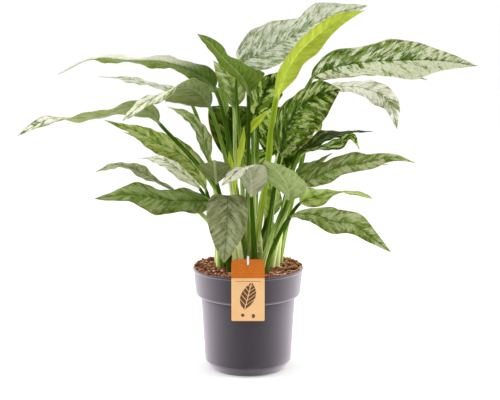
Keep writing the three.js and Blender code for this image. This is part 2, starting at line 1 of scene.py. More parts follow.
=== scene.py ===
"""A potted Chinese evergreen: its pot, soil, canes, leaves and card tag, made around their fixed frame.

Sizes in the tables are millimetres, as in the frame's own source, and MM turns them into metres. +Z is up, +X
is to the right, -Y is the front, where the tag hangs, and the origin is the centre of the pot's underside.
"""
import math
from typing import NamedTuple

import bpy
import numpy as np
from bpy.props import FloatProperty, FloatVectorProperty, IntProperty, PointerProperty
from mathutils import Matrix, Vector, noise


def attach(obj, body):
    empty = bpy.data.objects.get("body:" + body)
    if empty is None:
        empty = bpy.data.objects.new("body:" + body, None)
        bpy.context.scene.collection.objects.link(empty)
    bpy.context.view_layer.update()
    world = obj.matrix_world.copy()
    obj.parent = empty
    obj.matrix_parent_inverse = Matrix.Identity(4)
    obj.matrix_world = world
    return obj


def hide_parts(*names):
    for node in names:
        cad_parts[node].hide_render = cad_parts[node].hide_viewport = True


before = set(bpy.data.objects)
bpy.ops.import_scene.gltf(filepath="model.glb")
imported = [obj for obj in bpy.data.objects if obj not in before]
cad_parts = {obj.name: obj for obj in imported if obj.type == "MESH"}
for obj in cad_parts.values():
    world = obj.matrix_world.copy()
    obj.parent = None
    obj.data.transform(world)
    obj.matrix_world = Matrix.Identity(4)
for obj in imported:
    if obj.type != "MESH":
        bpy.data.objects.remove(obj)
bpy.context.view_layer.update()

bl_info = {
    "name": "Potted Chinese Evergreen",
    "version": (1, 0, 0),
    "blender": (4, 5, 0),
    "location": "3D View > Sidebar > Evergreen",
    "description": "Builds a potted Chinese evergreen and its stage around a fixed frame",
    "category": "Object",
}

MM = 0.001

# ---- Sizes, in millimetres ----

POT = {
    "height": 160,
    "rim_radius": 85,
    "collar_base": 116,
    "collar_radius": 80.5,
    "body_top_radius": 73,
    "body_base_radius": 67,
    "foot_radius": 58,
    "foot_height": 11,
    "pad_radius": 16,
    "channel_depth": 3,
    "wall": 1.6,
    "softening": 0.9,  # radius of its rounded corners
    "drain_holes": 8,
    "drain_radius": 5,
    "drain_circle": 33,
}
HOLE_SIDES = 32

SOIL = {
    "edge": 157,  # heights of its surface at the wall and in the middle
    "crown": 161,
    "relief": 1.3,  # height of the ripples that the chips follow
    "lumps": 1.1,  # and of the lumps on top of them
    "heap": 4,  # how far it is heaped against the wall
    "gap": 0.3,  # between it and the pot
    "radius": 83.2,  # of the disc over which bark is strewn
}

CHIP = {
    "length": (0.4, 1),  # from the shortest to the longest, as shares of a large chip's length
    "crumb_length": (0.14, 0.36),
    "uneven": 0.28,  # how far a corner strays
    "width": (0.3, 0.7),  # as shares of the chip's own length
    "height": (0.16, 0.4),
    "lift": (0.02, 0.22),
    "tilt": 0.35,  # how widely the tilts spread, in radians
}

CANE = {"radius": 5.4, "tip_radius": 2, "point": 4, "first_scar": 3, "bare_top": 12}
# A leaf scar's ring: how far each of its points lies out of the cane, and above the scar's middle.
SCAR = ((-0.1, -1.4), (0.45, -0.4), (0.35, 0.3), (-0.25, 1.2))

STALK = {
    "buried": 20,
    "foot_radius": 4.8,
    "neck_radius": 2.6,
    "rise": 3,  # how far it stands straight up out of the soil
    "groove": 0.2,  # depth of the groove up its front, as a share of its radius
    "groove_reach": 0.5,  # and how far the groove reaches to each side, in radians
    "beside": 0.8,  # between it and its cane
}
# A rolled young leaf on a cane's tip: how deep it is sunk there, and how far it stands straight up.
SPEAR = {"sunk": 6, "rise": 2}

BLADE = {
    "least_half": 0.4,  # half its width at the very tip
    "arch": 0.14,  # how far the blade's halves curve down, as a share of their width
    "unfolding": 0.4,  # how much of its fold is gone at the tip
    "to_widest": 0.75,  # powers of the outline's two ends: a rounded base and a fine tip
    "to_tip": 1.05,
    "keel": 2.2,  # how far the midrib stands below the blade at its base
    "keel_half": 1.7,
    "groove": 0.5,  # how deep the midrib lies in the upper face
    "groove_half": 1.3,
    "vein_gap": 9.5,  # between one side vein and the next
    "vein_slope": 0.95,  # how far a side vein runs on for each step outwards
    "vein_relief": 0.32,
    "ripples": 3.1,  # small ripples along the margin for each of the blade's waves
    "margin": 0.55,  # its thickness at the margin, as a share of that beside the midrib
    "neck_share": 0.035,  # of the blade's length, where the stalk turns into the blade
    "neck_groove": 0.25,
}

TAG = {
    "width": 50,
    "length": 95,
    "thickness": 0.8,
    "bottom": 95,
    "corner_radius": 7,
    "foot_corner_radius": 2,
    "hole_radius": 3,
    "hole_drop": 7,
    "stand_off": 85.6,
    "softening": 0.12,
    "band": 29,  # height of the coloured band at its top
}

# What is printed on the tag: a leaf, a sun and a drop below it, and a thin rule under the band.
PRINT = {
    "leaf_middle": 38,  # heights above the tag's bottom
    "signs": 9,
    "leaf_half_length": 22,
    "leaf_half_width": 11.5,
    "leaf_lean": 0.25,
    "rib": 0.6,  # half the width of the leaf's bare midrib
    "vein": 0.5,
    "vein_gap": 3.5,
    "sign_aside": 8,
    "sign_radius": 2.6,
    "rule_drop": 5,
    "rule_half": 19,
    "rule": 0.3,
    "blur": 0.12,  # how soft the print's edges are
}

HOOK = {
    "width": 3.2,
    "bar": 2,  # thickness of the room that it takes up, and of the strip itself
    "strip": 1.44,
    "bend": 3,
    "softening": 0.35,
    "stand_y": -75,
    "buried": 30,
    "reach": 5,  # how far it stands out of the tag, and up in front of it
    "nose": 13,
}

# Where each cane stands, and how far it rises out of the soil.
CANES = {
    "cane_middle": ([0, 2], 95),
    "cane_left": ([-34, -6], 60),
    "cane_front_left": ([-17, -37], 55),
    "cane_front_right": ([18, -38], 60),
    "cane_right": ([34, -5], 70),
    "cane_back_right": ([17, 38], 75),
    "cane_back_left": ([-18, 38], 70),
    "cane_far_right": ([40, 32], 60),
    "cane_far_left": ([-38, 30], 60),
    "cane_back": ([1, 62], 70),
}


class Leaf(NamedTuple):
    """The numbers that shape one leaf, in millimetres and degrees."""

    look: str  # its colours, from LOOKS
    line: tuple  # points along the midrib, from the stalk's end to the tip
    half: float  # half of the blade's greatest width
    by: tuple = ()  # its cane, counted in CANES, and the bearing at which the stalk stands beside it
    tip_of: int = None  # the cane on whose tip a rolled young leaf stands instead
    lean: float = 0  # the share of its way across that the stalk has come halfway up
    roll: tuple = (0, 0, 0)  # its turn about its line at the base, the middle and the tip
    fold: float = 12  # how far its halves are folded up
    wave: tuple = (2, 2, 0.3)  # height, number and start of the waves down the blade
    edge: tuple = ((1, 1), (1, 1))  # widths of the left and the right half beside the plain outline
    sheath: float = 1  # how much thicker the stalk is from its middle up
    slot: str = "leaf_green"


LEAVES = [
    # The left side, from the top down.
    Leaf("silver_edge", by=(0, 190), lean=0.3, half=27, roll=(50, 19, 22), wave=(4, 3.5, -0.02),
         edge=((1.45, 0.75, 1.3, 0.9, 0.95), (0.9, 0.9, 0.95, 1.1, 0.95)),
         line=((-50, -10, 436), (-81, -32, 464), (-123, -48, 480), (-177, -60, 484), (-227, -72, 489),
               (-278, -85, 467))),
    Leaf("silver", by=(8, 205), lean=0.1, half=25, wave=(2, 2, 0.5), slot="leaf_silver",
         line=((-95, 75, 415), (-115, 90, 422), (-155, 108, 432), (-195, 122, 440), (-240, 135, 442))),
    Leaf("olive", by=(2, 256), lean=0.12, half=33, roll=(60, 22, -30), fold=4, wave=(4, 2.6, 0.13),
         edge=((0.8, 0.75, 1.05, 1.1, 0.8), (1.25, 1.4, 1.15, 0.95, 1.2)),
         line=((-57, -55, 414), (-75, -66, 440), (-101, -98, 448), (-144, -118, 432), (-181, -128, 404))),
    Leaf("two_faced", by=(1, 295), lean=0.15, half=25, roll=(50, 19, -34), wave=(5.5, 2.1, 0.13),
         edge=((1.1, 1, 0.95, 0.95, 0.9), (1.05, 0.95, 1.1, 0.9, 1.15)),
         line=((-132, -70, 393), (-144, -75, 409), (-176, -80, 417), (-211, -88, 406), (-245, -97, 403),
               (-286, -105, 404), (-335, -115, 380))),
    Leaf("bright", by=(1, 240), lean=0.4, half=24, roll=(-45, -42, -22), wave=(2, 2.9, -0.03),
         edge=((0.95, 0.85, 1, 1.05, 0.95), (1, 1, 1.15, 0.95, 0.9)),
         line=((-64, -20, 283), (-77, -24, 311), (-97, -30, 337), (-133, -40, 358), (-170, -50, 379),
               (-213, -60, 396))),
    Leaf("blush", by=(1, 130), lean=0.15, half=22, roll=(-10, -10, 0), wave=(2, 2, 0.4), slot="leaf_silver",
         line=((-75, 15, 280), (-100, 30, 300), (-135, 50, 320), (-175, 65, 320))),
    Leaf("ribbed", by=(1, 185), lean=0.1, half=14, roll=(-2, -14, -28), fold=17, wave=(3.5, 2.3, -0.1),
         slot="leaf_silver", edge=((1, 0.95, 0.95, 1.25, 1.05), (0.85, 0.75, 1.05, 1.1, 1.1)),
         line=((-112, 10, 275), (-136, 20, 287), (-165, 32, 302), (-201, 48, 312), (-241, 66, 298))),
    Leaf("mottled", by=(2, 204), lean=0.6, half=29, roll=(-34, -35, -26), fold=7, wave=(5, 2.3, 0.48),
         edge=((1.1, 0.95, 1.1, 0.95, 1), (1.05, 0.9, 0.95, 1.1, 1)),
         line=((-52, -72, 272), (-79, -88, 279), (-107, -102, 282), (-143, -118, 290), (-179, -132, 296),
               (-221, -148, 293))),
    # The front, low down.
    Leaf("dull", by=(2, 150), lean=0.25, half=24, fold=20, wave=(1.5, 1.5, 0.2),
         line=((-46, -80, 305), (-48, -100, 325), (-48, -125, 338), (-48, -152, 350))),
    Leaf("ribbed", by=(2, 318), lean=0.35, half=31, wave=(1.5, 2, 0.2),
         line=((-30, -88, 280), (-30, -110, 290), (-30, -145, 260), (-35, -138, 195))),
    Leaf("ash", by=(3, 225), lean=0.4, half=26, roll=(0, 10, 0), fold=14, wave=(2, 1.5, 0.5),
         slot="leaf_silver",
         line=((5, -78, 285), (5, -95, 315), (-5, -122, 335), (-38, -148, 312))),
    Leaf("pale_back", by=(3, 280), lean=0.4, half=34, wave=(1.5, 1.5, 0),
         line=((60, -75, 280), (57, -95, 305), (40, -115, 332), (24, -135, 347))),
    # The top.
    Leaf("plain", by=(0, 270), lean=0.5, half=30, roll=(32, -1, 26), fold=16, wave=(2.5, 1.5, -0.12),
         edge=((0.95, 1.55, 1.15, 0.8, 1.05), (0.7, 0.85, 1.05, 1, 1)),
         line=((0, -25, 432), (-5, -45, 454), (-17, -60, 470), (-39, -72, 493), (-55, -85, 512),
               (-73, -92, 526))),
    Leaf("silver", by=(6, 20), lean=0.4, half=41, roll=(60, 46, 47), fold=10, wave=(4.5, 2.9, 0.34),
         slot="leaf_silver", edge=((1.5, 1.15, 0.85, 1.05, 0.95), (1.15, 0.9, 1.05, 0.95, 1.05)),
         line=((-13, 60, 466), (21, 72, 485), (57, 80, 503), (93, 72, 524), (130, 62, 545), (183, 45, 560))),
    Leaf("dark", by=(5, 140), lean=0.3, half=30, roll=(20, 30, 30), fold=10, wave=(3, 2, 0.3),
         line=((10, 52, 390), (20, 62, 410), (35, 72, 435), (60, 80, 455))),
    Leaf("young", by=(0, 20), lean=0.5, half=19, roll=(-67, -91, -62), fold=35, wave=(1, 1, 0.28), sheath=1.7,
         slot="leaf_young", edge=((1.3, 0.95, 1.2, 1, 1.05), (1.05, 0.8, 0.85, 0.9, 1.05)),
         line=((44, 20, 421), (57, 16, 455), (75, 10, 486), (99, 2, 512), (133, -6, 539), (175, -12, 556))),
    Leaf("bold_silver", by=(4, 100), lean=0.2, half=31, roll=(64, 56, 82), fold=13, wave=(6, 1.9, 0.2),
         edge=((1.3, 1, 1.1, 1.1, 0.95), (0.75, 0.85, 0.95, 1.2, 1)),
         line=((96, 0, 450), (115, -12, 464), (160, -30, 478), (226, -55, 485), (283, -72, 486),
               (335, -85, 479))),
    # The right side, from the top down.
    Leaf("blush", by=(7, 15), lean=0.4, half=22, roll=(14, 33, 43), fold=13, wave=(3, 1.9, 0.21),
         slot="leaf_silver", edge=((0.9, 0.95, 0.9, 1, 1.2), (0.95, 0.95, 0.95, 1.2, 0.95)),
         line=((121, 66, 430), (149, 50, 435), (183, 30, 433), (215, 14, 417), (228, 0, 375))),
    Leaf("bold", by=(3, 50), lean=0.4, half=48, roll=(70, 52, 73), fold=-4, wave=(2, 2.3, 0.34),
         edge=((1.1, 1, 0.8, 0.8, 1.05), (0.95, 1, 1.05, 1.3, 1.45)),
         line=((48, -45, 340), (58, -52, 381), (69, -60, 405), (86, -68, 425), (108, -75, 437),
               (136, -80, 444))),
    Leaf("shaded", by=(7, 322), lean=0.48, half=23, roll=(13, 6, -3), fold=11, wave=(2, 2.2, 0.34),
         edge=((1, 1.1, 1.05, 0.9, 1.05), (1.05, 1.1, 0.95, 1.05, 0.95)),
         line=((76, 25, 333), (98, 33, 344), (121, 40, 359), (151, 48, 363), (195, 56, 364))),
    Leaf("dark", by=(4, 340), lean=0.3, half=19, roll=(-8, 20, 28), fold=11, wave=(2.5, 1.7, 0.36),
         edge=((0.9, 0.95, 0.9, 1.05, 0.85), (0.95, 1.05, 0.85, 1.15, 0.85)),
         line=((80, -16, 337), (108, -30, 350), (136, -42, 358), (155, -48, 371), (167, -50, 351))),
    Leaf("mottled", by=(4, 40), lean=0.35, half=17, roll=(20, 20, 0),
         line=((62, 3, 283), (80, 4, 303), (105, 8, 320), (130, 14, 336))),
    Leaf("lively", by=(4, 285), lean=0.35, half=21, roll=(56, 46, 23), fold=10, wave=(2.5, 1.7, 0.22),
         edge=((1, 1.1, 1.1, 0.8, 0.95), (1, 1.1, 0.8, 0.85, 0.95)),
         line=((76, -32, 291), (104, -50, 309), (138, -68, 327), (174, -84, 336), (213, -97, 346),
               (245, -105, 339))),
    Leaf("bright", by=(7, 262), lean=0.35, half=26, roll=(66, -6, -7), fold=14, wave=(2, 1.7, 0.29),
         edge=((1.2, 1.1, 0.95, 1, 0.95), (1.2, 0.9, 0.9, 1, 1.05)),
         line=((80, 10, 257), (112, 25, 267), (142, 42, 270), (172, 58, 265), (199, 72, 253))),
    Leaf("lively", by=(3, 335), lean=0.35, half=21, roll=(22, 45, 47), wave=(3, 2, 0.31),
         edge=((0.9, 1.15, 0.95, 1.1, 1), (0.95, 0.9, 1.05, 0.9, 0.9)),
         line=((65, -50, 248), (98, -75, 256), (125, -98, 250), (153, -118, 251), (183, -132, 231),
               (209, -140, 212))),
    # The inside of the plant.
    Leaf("lively", by=(8, 270), lean=0.2, half=27, slot="leaf_silver",
         line=((-60, 15, 320), (-70, 22, 360), (-90, 30, 390), (-125, 38, 405))),
    Leaf("plain", by=(0, 110), lean=0.5, half=22,
         line=((-35, 20, 395), (-40, 15, 420), (-55, 10, 440), (-75, 0, 455))),
    Leaf("lively", by=(6, 90), lean=0.5, half=26, slot="leaf_silver",
         line=((-22, 66, 400), (-25, 78, 425), (-35, 92, 450), (-55, 107, 470))),
    Leaf("bright", by=(5, 230), lean=0.5, half=18,
         line=((30, 12, 235), (34, 20, 250), (36, 28, 270), (32, 36, 290))),
    # The back.
    Leaf("mottled", by=(8, 75), lean=0.1, half=26, roll=(0, -10, 0),
         line=((-62, 80, 290), (-100, 108, 315), (-152, 145, 338), (-205, 185, 345))),
    Leaf("silver", by=(8, 140), lean=0.1, half=26, roll=(0, -10, 0),
         line=((-70, 65, 245), (-110, 90, 245), (-160, 125, 245), (-230, 160, 240))),
    Leaf("bold", by=(7, 75), lean=0.1, half=26, roll=(0, 10, 0),
         line=((80, 60, 280), (120, 95, 295), (175, 130, 300), (230, 160, 295))),
    Leaf("mottled", by=(5, 30), lean=0.4, half=26, roll=(0, 10, 0),
         line=((62, 72, 222), (105, 105, 218), (155, 145, 205), (200, 180, 175))),
    Leaf("mottled", by=(5, 330), lean=0.15, half=28, roll=(20, 30, 20),
         line=((110, 75, 440), (155, 97, 457), (220, 122, 460), (290, 155, 435))),
    Leaf("silver", by=(9, 30), lean=0.35, half=30, roll=(20, 20, 20),
         line=((20, 105, 470), (40, 132, 495), (72, 168, 505), (125, 222, 480))),
    Leaf("shaded", by=(9, 150), lean=0.35, half=38,
         line=((-24, 90, 310), (-26, 110, 360), (-28, 150, 390), (-28, 230, 370))),
    Leaf("dark", by=(9, 90), lean=0.35, half=30,
         line=((5, 110, 260), (8, 130, 300), (12, 170, 318), (18, 240, 270))),
    Leaf("dark", by=(5, 85), lean=0.35, half=34,
         line=((58, 85, 290), (70, 105, 340), (88, 145, 368), (120, 215, 340))),
    Leaf("dark", by=(9, 330), lean=0.35, half=32,
         line=((35, 80, 320), (42, 95, 365), (50, 125, 392), (60, 182, 380))),
]

# Young leaves, still rolled, that stand on the tips of canes.
SPEARS = [
    Leaf("fresh", tip_of=0, half=7, roll=(80, 80, 80), fold=30, wave=(0.5, 1, 0), slot="leaf_young",
         line=((1, 0, 366), (8, -3, 380), (18, -5, 391), (30, -8, 404))),
    Leaf("fresh", tip_of=2, half=7, roll=(-80, -80, -80), fold=40, wave=(0.5, 1, 0.3), slot="leaf_young",
         line=((-20, -38, 285), (-22, -37, 302), (-25, -36, 322), (-29, -34, 346))),
    Leaf("fresh", tip_of=1, half=6, roll=(-80, -80, -80), fold=30, wave=(0.5, 1, 0.6), slot="leaf_young",
         line=((-15, -10, 318), (-12, -10, 334), (-8, -10, 355), (-6, -8, 380))),
]

# How each kind of leaf is coloured: the green, the dark blotches and the silver of its upper face, and its
# lower face. What a look doesn't say, it takes from USUAL. The pale of some looks is partly painted sheen, and
# the shaded look is painted shade, as said above each.
USUAL = {
    "silver": 0,  # these two say how much of the blade the silver and the dark green cover
    "darkness": 0,
    "halfway": 0.08,  # these three draw the silver to the middle of each half, to the tip and to the right
    "tip": 0.02,
    "side": 0,
    "fine": 1,  # how small the blotches are, and how soft their edges
    "soft": 0,
    "veins": 0,  # how pale the side veins are on the upper face and on the lower one
    "ribs": 0.35,
    "through": 0.3,  # how much of the silver shows on the lower face
    "deep": 0,  # painted shade: how dark the lower face is towards its base
    "strip": 0,  # how much of the silver strip down its left half shows
}
LOOKS = {
    "mottled": dict(green="#667f32", dark="#445b1b", pale="#919f67", under="#6e853b",
                    soft=0.05),
    "bright": dict(green="#9cb34f", dark="#5e751f", pale="#c5d38a", under="#95a858",
                   darkness=0.01, soft=0.05),
    "bold": dict(green="#506f07", dark="#223707", pale="#aab775", under="#6e8123",
                 darkness=0.02, silver=-0.03, halfway=0.06, soft=0.035, fine=1.25),
    "lively": dict(green="#7d9244", dark="#536727", pale="#afb889", under="#869455",
                   silver=-0.01, soft=0.03),
    # The pale of bold_silver and silver is partly the leaves' own silver and partly painted sheen.
    "bold_silver": dict(green="#768f40", dark="#3d5712", pale="#d0d7b7", under="#8e9a67",
                        tip=0.1, side=0.08, halfway=0.03, soft=0.015),
    "silver": dict(green="#88976c", dark="#616e46", pale="#cdd3bd", under="#9da486",
                   silver=0.03, tip=0.05, fine=1.5, soft=0.05, halfway=0.03),
    "silver_edge": dict(green="#a4ad58", dark="#325012", pale="#efeee2", under="#7a942c",
                        tip=0.05, ribs=0.1, strip=1, through=0.08, deep=0.6, soft=0.03),
    "two_faced": dict(green="#a0ad71", dark="#486819", pale="#e6e3d6", under="#8d9955",
                      silver=0.02, tip=-0.05, ribs=0.1, through=0.1, deep=0.4, soft=0.03),
    "olive": dict(green="#8f9f58", dark="#4a5f24", pale="#e6e4d4", under="#778549",
                  silver=0.02, tip=0.12, through=0.1, ribs=0.06, deep=0.35, soft=0.03),
    # The pale of blush is partly the leaves' own silver and partly painted sheen.
    "blush": dict(green="#919c6c", dark="#657535", pale="#e7e5da", under="#a9ae92",
                  silver=0.05, tip=-0.04, fine=1.3, soft=0.05, halfway=0.03),
    # The pale of ribbed is partly the leaves' own silver and partly painted sheen.
    "ribbed": dict(green="#7b8455", dark="#52592e", pale="#a1a682", under="#848d63",
                   halfway=0.02, silver=-0.01, soft=0.07, veins=0.3),
    "dull": dict(green="#6d7a45", dark="#475721", pale="#a6ab83", under="#6c7843",
                 silver=-0.06, ribs=0.3, soft=0.05),
    # The pale of ash is partly the leaves' own silver and partly painted sheen.
    "ash": dict(green="#9ea37e", dark="#54612b", pale="#dbdac4", under="#a3a684",
                silver=0.03, ribs=0.12, through=0.2),
    "pale_back": dict(green="#8b9e5c", dark="#45601b", pale="#d0d8aa", under="#94a664",
                      ribs=0.14, through=0.15),
    "plain": dict(green="#5f7926", dark="#3a5608", pale="#b0b084", under="#617b2a",
                  silver=-0.1, ribs=0.15, through=0.1),
    "dark": dict(green="#60811b", dark="#283e09", pale="#b8cb78", under="#638221",
                 silver=-0.03, darkness=0.03),
    # shaded is a darker copy of the leaf colours: painted shade, for leaves deep in the plant.
    "shaded": dict(green="#41520f", dark="#212b04", pale="#72863e", under="#465815",
                   silver=-0.08, darkness=0.03),
    "fresh": dict(green="#b9cb3c", dark="#a4ba30", pale="#d3de66", under="#bccd42",
                  silver=-0.3, darkness=-0.2, ribs=0.1),
    "young": dict(green="#b2c442", dark="#76931c", pale="#e5e58e", under="#bbcb48",
                  silver=-0.02, ribs=0.04, through=0.04),
}
STALK_TONES = ("#34500c", "#76923a", "#cbd594")
YOUNG_STALK_TONES = ("#8ba62c", "#a5bc38", "#cbd96a")
YOUNG_LOOKS = ("young", "fresh")

# How noise makes the leaves' patches: how many to the metre along the side veins and across them, the noise's
# detail and roughness, and where it starts.
SILVER_PATCHES = (96, 56, 8.0, 0.74, 0)
DARK_PATCHES = (118, 76, 7.0, 0.72, 11)
FLECKS = (420, 260, 3.0, 0.6, 5)


# ---- Materials ----

def rgb(code):
    """A colour such as "#7c9a4c" in the linear numbers that a shader reads."""
    parts = [int(code[i:i + 2], 16) / 255 for i in (1, 3, 5)]
    linear = [p / 12.92 if p <= 0.04045 else ((p + 0.055) / 1.055) ** 2.4 for p in parts]
    return (*linear, 1)


class Wire:
    """A shader's socket. Arithmetic on it adds the Math nodes that do the sum."""

    def __init__(self, finish, socket):
        self.finish = finish
        self.socket = socket

    def maths(self, operation, *values):
        return self.finish.node("ShaderNodeMath", {"operation": operation}, dict(enumerate(values)))

    def __add__(self, other):
        return self.maths("ADD", self, other)

    def __radd__(self, other):
        return self.maths("ADD", other, self)

    def __sub__(self, other):
        return self.maths("SUBTRACT", self, other)

    def __rsub__(self, other):
        return self.maths("SUBTRACT", other, self)

    def __mul__(self, other):
        return self.maths("MULTIPLY", self, other)

    def __rmul__(self, other):
        return self.maths("MULTIPLY", other, self)

    def __truediv__(self, other):
        return self.maths("DIVIDE", self, other)

    def __pow__(self, other):
        return self.maths("POWER", self, other)

    def __abs__(self):
        return self.maths("ABSOLUTE", self)

    def fold(self, width):
        """Runs up from 0 to width and down again, over and over."""
        return self.maths("PINGPONG", self, width)

    def over(self, low, high):
        """0 where this is below low, 1 where it is above high, and a smooth step between."""
        sockets = {"Value": self, "From Min": low, "From Max": high}
        return self.finish.node("ShaderNodeMapRange", {"interpolation_type": "SMOOTHSTEP"}, sockets, "Result")


class Nodes:
    """A tree of shader nodes, and short ways to add to it."""

    def __init__(self, tree):
        self.tree = tree

    def node(self, kind, settings=None, sockets=None, output=0):
        """Adds a node with its settings, then the values or wires of its sockets; gives one output."""
        made = self.tree.nodes.new(kind)
        for key, value in (settings or {}).items():
            setattr(made, key, value)
        for key, value in (sockets or {}).items():
            if isinstance(value, Wire):
                self.tree.links.new(value.socket, made.inputs[key])
            else:
                made.inputs[key].default_value = value
        return Wire(self, made.outputs[output])

    def split(self, vector):
        parts = self.node("ShaderNodeSeparateXYZ", None, {0: vector})
        return [Wire(self, output) for output in parts.socket.node.outputs]

    def join(self, x, y, z):
        return self.node("ShaderNodeCombineXYZ", None, {0: x, 1: y, 2: z})

    def place(self):
        """The object's own coordinates, in metres."""
        return self.node("ShaderNodeTexCoord", None, None, "Object")

    def attribute(self, name, output="Vector"):
        return self.node("ShaderNodeAttribute", {"attribute_name": name}, None, output)

    def cloud(self, vector, scale, detail=2.0, roughness=0.5):
        """Smooth noise between about 0.2 and 0.8."""
        sockets = {"Vector": vector, "Scale": scale, "Detail": detail, "Roughness": roughness}
        return self.node("ShaderNodeTexNoise", None, sockets)

    def paint(self, colour, *coats):
        """A colour under coats, each a mask, which is 1 where it covers, and its own colour."""
        for mask, coat in coats:
            first, second = (rgb(c) if isinstance(c, str) else c for c in (colour, coat))
            colour = self.node("ShaderNodeMix", {"data_type": "RGBA"}, {0: mask, 6: first, 7: second}, 2)
        return colour


class Finish(Nodes):
    """A material and the nodes that feed it."""

    def __init__(self, name, **fixed):
        self.material = bpy.data.materials.new(name)
        self.material.use_nodes = True
        super().__init__(self.material.node_tree)
        self.surface = self.tree.nodes["Principled BSDF"]
        for socket, value in fixed.items():
            self.surface.inputs[socket.replace("_", " ")].default_value = value

    def feed(self, socket, wire):
        self.tree.links.new(wire.socket, self.surface.inputs[socket])

    def colour(self, base, *coats):
        self.feed("Base Color", self.paint(base, *coats))

    def bump(self, height, distance, strength=1.0):
        sockets = {"Height": height, "Distance": distance, "Strength": strength}
        self.feed("Normal", self.node("ShaderNodeBump", None, sockets))


def leaf_finish(look):
    """A leaf's skin: ragged blotches that run out along the side veins, a plain lower face, a pale stalk."""
    tints = {**USUAL, **LOOKS[look]}
    green, dark, pale, under = (tints[part] for part in ("green", "dark", "pale", "under"))
    soft = tints["soft"]
    finish = Finish(f"leaf_{look}", IOR=1.06, Subsurface_Weight=0.1, Subsurface_Scale=0.002)
    across, along, seed = finish.split(finish.attribute("grain"))
    reach, share, face = finish.split(finish.attribute("site"))
    outward = abs(across)
    on_vein = along - outward * BLADE["vein_slope"]

    def patches(kind, fine=1):
        lengthways, sideways, detail, roughness, start = kind
        place = finish.join(on_vein * (lengthways * fine), across * (sideways * fine), seed + start)
        return finish.cloud(place, 1, detail, roughness)

    # Silver lies halfway between the midrib and the margin, and dark green gathers along both.
    halfway = 0.4 - (abs(reach) * 2 - 1) ** 2
    tip = (share - 0.5) * tints["tip"]
    silvered = patches(SILVER_PATCHES, tints["fine"]) + halfway * tints["halfway"] + tip + tints["silver"]
    silvered = silvered + (0 - reach).over(0.02, 0.1) * tints["side"]
    shaded = patches(DARK_PATCHES, tints["fine"]) - halfway * 0.06 - tip * 0.6 + tints["darkness"]
    fleck = patches(FLECKS)
    crease = on_vein.fold(BLADE["vein_gap"] * MM / 2).over(0.0001, 0.0016)
    silver = finish.paint(pale, (fleck.over(0.46, 0.66) * 0.45, green))
    upper = finish.paint(
        green,
        (shaded.over(0.46 - soft, 0.55 + soft), dark),
        (silvered.over(0.485 - soft, 0.555 + soft), silver),
        ((1 - outward.over(0.0004, 0.0012)) * 0.6, dark),
        ((1 - crease) * tints["veins"], pale))
    lower = finish.paint(
        under,
        (shaded.over(0.38, 0.64) * 0.5, dark),
        (silvered.over(0.42, 0.62) * tints["through"], pale),
        ((1 - crease) * tints["ribs"], pale),
        ((1 - outward.over(0.0012, 0.0026)) * min(1, 2 * tints["ribs"]), pale),
        # Painted shade: the lower face darkens towards its base.
        ((1 - share.over(0.05, 0.4)) * tints["deep"], dark),
        (reach.over(0.05, 0.4) * share.over(0.15, 0.4) * tints["strip"], silver))

    # Each stalk has its own tone, from pale to deep green, with streaks down it. It is palest at its foot and
    # darker up among the leaves: partly the stalk's own pale foot, partly painted shade under the leaves.
    stalk_tone = finish.cloud(finish.join(seed * 0.73, 0.5, 0.2), 1, 0.0)
    streaks = finish.cloud(finish.join(along * 22, reach * 2.6, seed + 2), 1, 4.0, 0.6)
    paleness_and_shade = streaks + (stalk_tone - 0.5) * 1.8 + 0.08 - share.over(-0.8, -0.1) * 0.44
    deep, middle, light = YOUNG_STALK_TONES if look in YOUNG_LOOKS else STALK_TONES
    stalk = finish.paint(deep, (paleness_and_shade.over(0.1, 0.45), middle), (paleness_and_shade.over(0.4, 0.75), light))
    blade = finish.paint(lower, (face, upper), (abs(reach).over(0.955, 1) * 0.35, pale))
    finish.colour(stalk, (share.over(-0.02, 0.015), blade))
    finish.feed("Roughness", 0.4 + fleck * 0.16 + (1 - face) * 0.12)
    finish.bump(crease * 0.5 + fleck * 0.5, 0.0004, 0.5)
    return finish.material


def pot_finish(settings):
    """Moulded recycled plastic: dark, satin, with fine vertical drag marks and scuffs."""
    finish = Finish(
        "pot_plastic", IOR=1.2, Sheen_Weight=1.0, Sheen_Roughness=0.56, Sheen_Tint=rgb("#f8ecfa"))
    place = finish.place()
    x, y, z = finish.split(place)
    drag = finish.cloud(finish.join(x * 190, y * 190, z * 30), 1, 3.0)
    haze = finish.cloud(place, 24, 5.0, 0.6)
    grain = finish.cloud(place, 900, 2.0)
    scuffed = (*(part * 1.4 for part in settings.colour), 1)
    dusty = (0.03 - z).over(0, 0.03) * haze.over(0.5, 0.75)
    scuffs = (drag * 0.2 + haze * 0.8).over(0.35, 0.7)
    finish.colour((*settings.colour, 1), (scuffs, scuffed), (dusty * 0.4, "#8d8178"))
    finish.feed("Roughness", settings.roughness + haze * 0.14 + grain * 0.06)
    finish.bump(grain * 0.6 + drag * 0.4, 0.0002, 0.4)
    return finish.material


def soil_finish():
    """Damp peat and bark dust."""
    finish = Finish("potting_mix", Roughness=0.95)
    place = finish.place()
    coarse = finish.cloud(place, 160, 4.0, 0.65)
    fine = finish.cloud(place, 700, 3.0, 0.7)
    finish.colour("#48220f", (coarse.over(0.3, 0.7), "#94603c"), (fine.over(0.6, 0.75) * 0.6, "#cda27a"))
    finish.bump(coarse * 0.6 + fine * 0.4, 0.0015, 0.9)
    return finish.material


def bark_finish():
    """Bark chips: each its own brown, from near black to a reddish tan."""
    finish = Finish("bark", Roughness=0.85)
    tone = finish.attribute("tone", "Fac")
    fibre = finish.cloud(finish.place(), 420, 3.0, 0.6)
    finish.colour(
        "#3e170a",
        (tone.over(0.02, 0.35), "#a0522f"),
        (tone.over(0.35, 0.75), "#cb9068"),
        (tone.over(0.8, 0.97), "#efd6b6"),
        (fibre.over(0.45, 0.75) * 0.4, "#401a0c"))
    finish.bump(fibre, 0.0008, 0.8)
    return finish.material


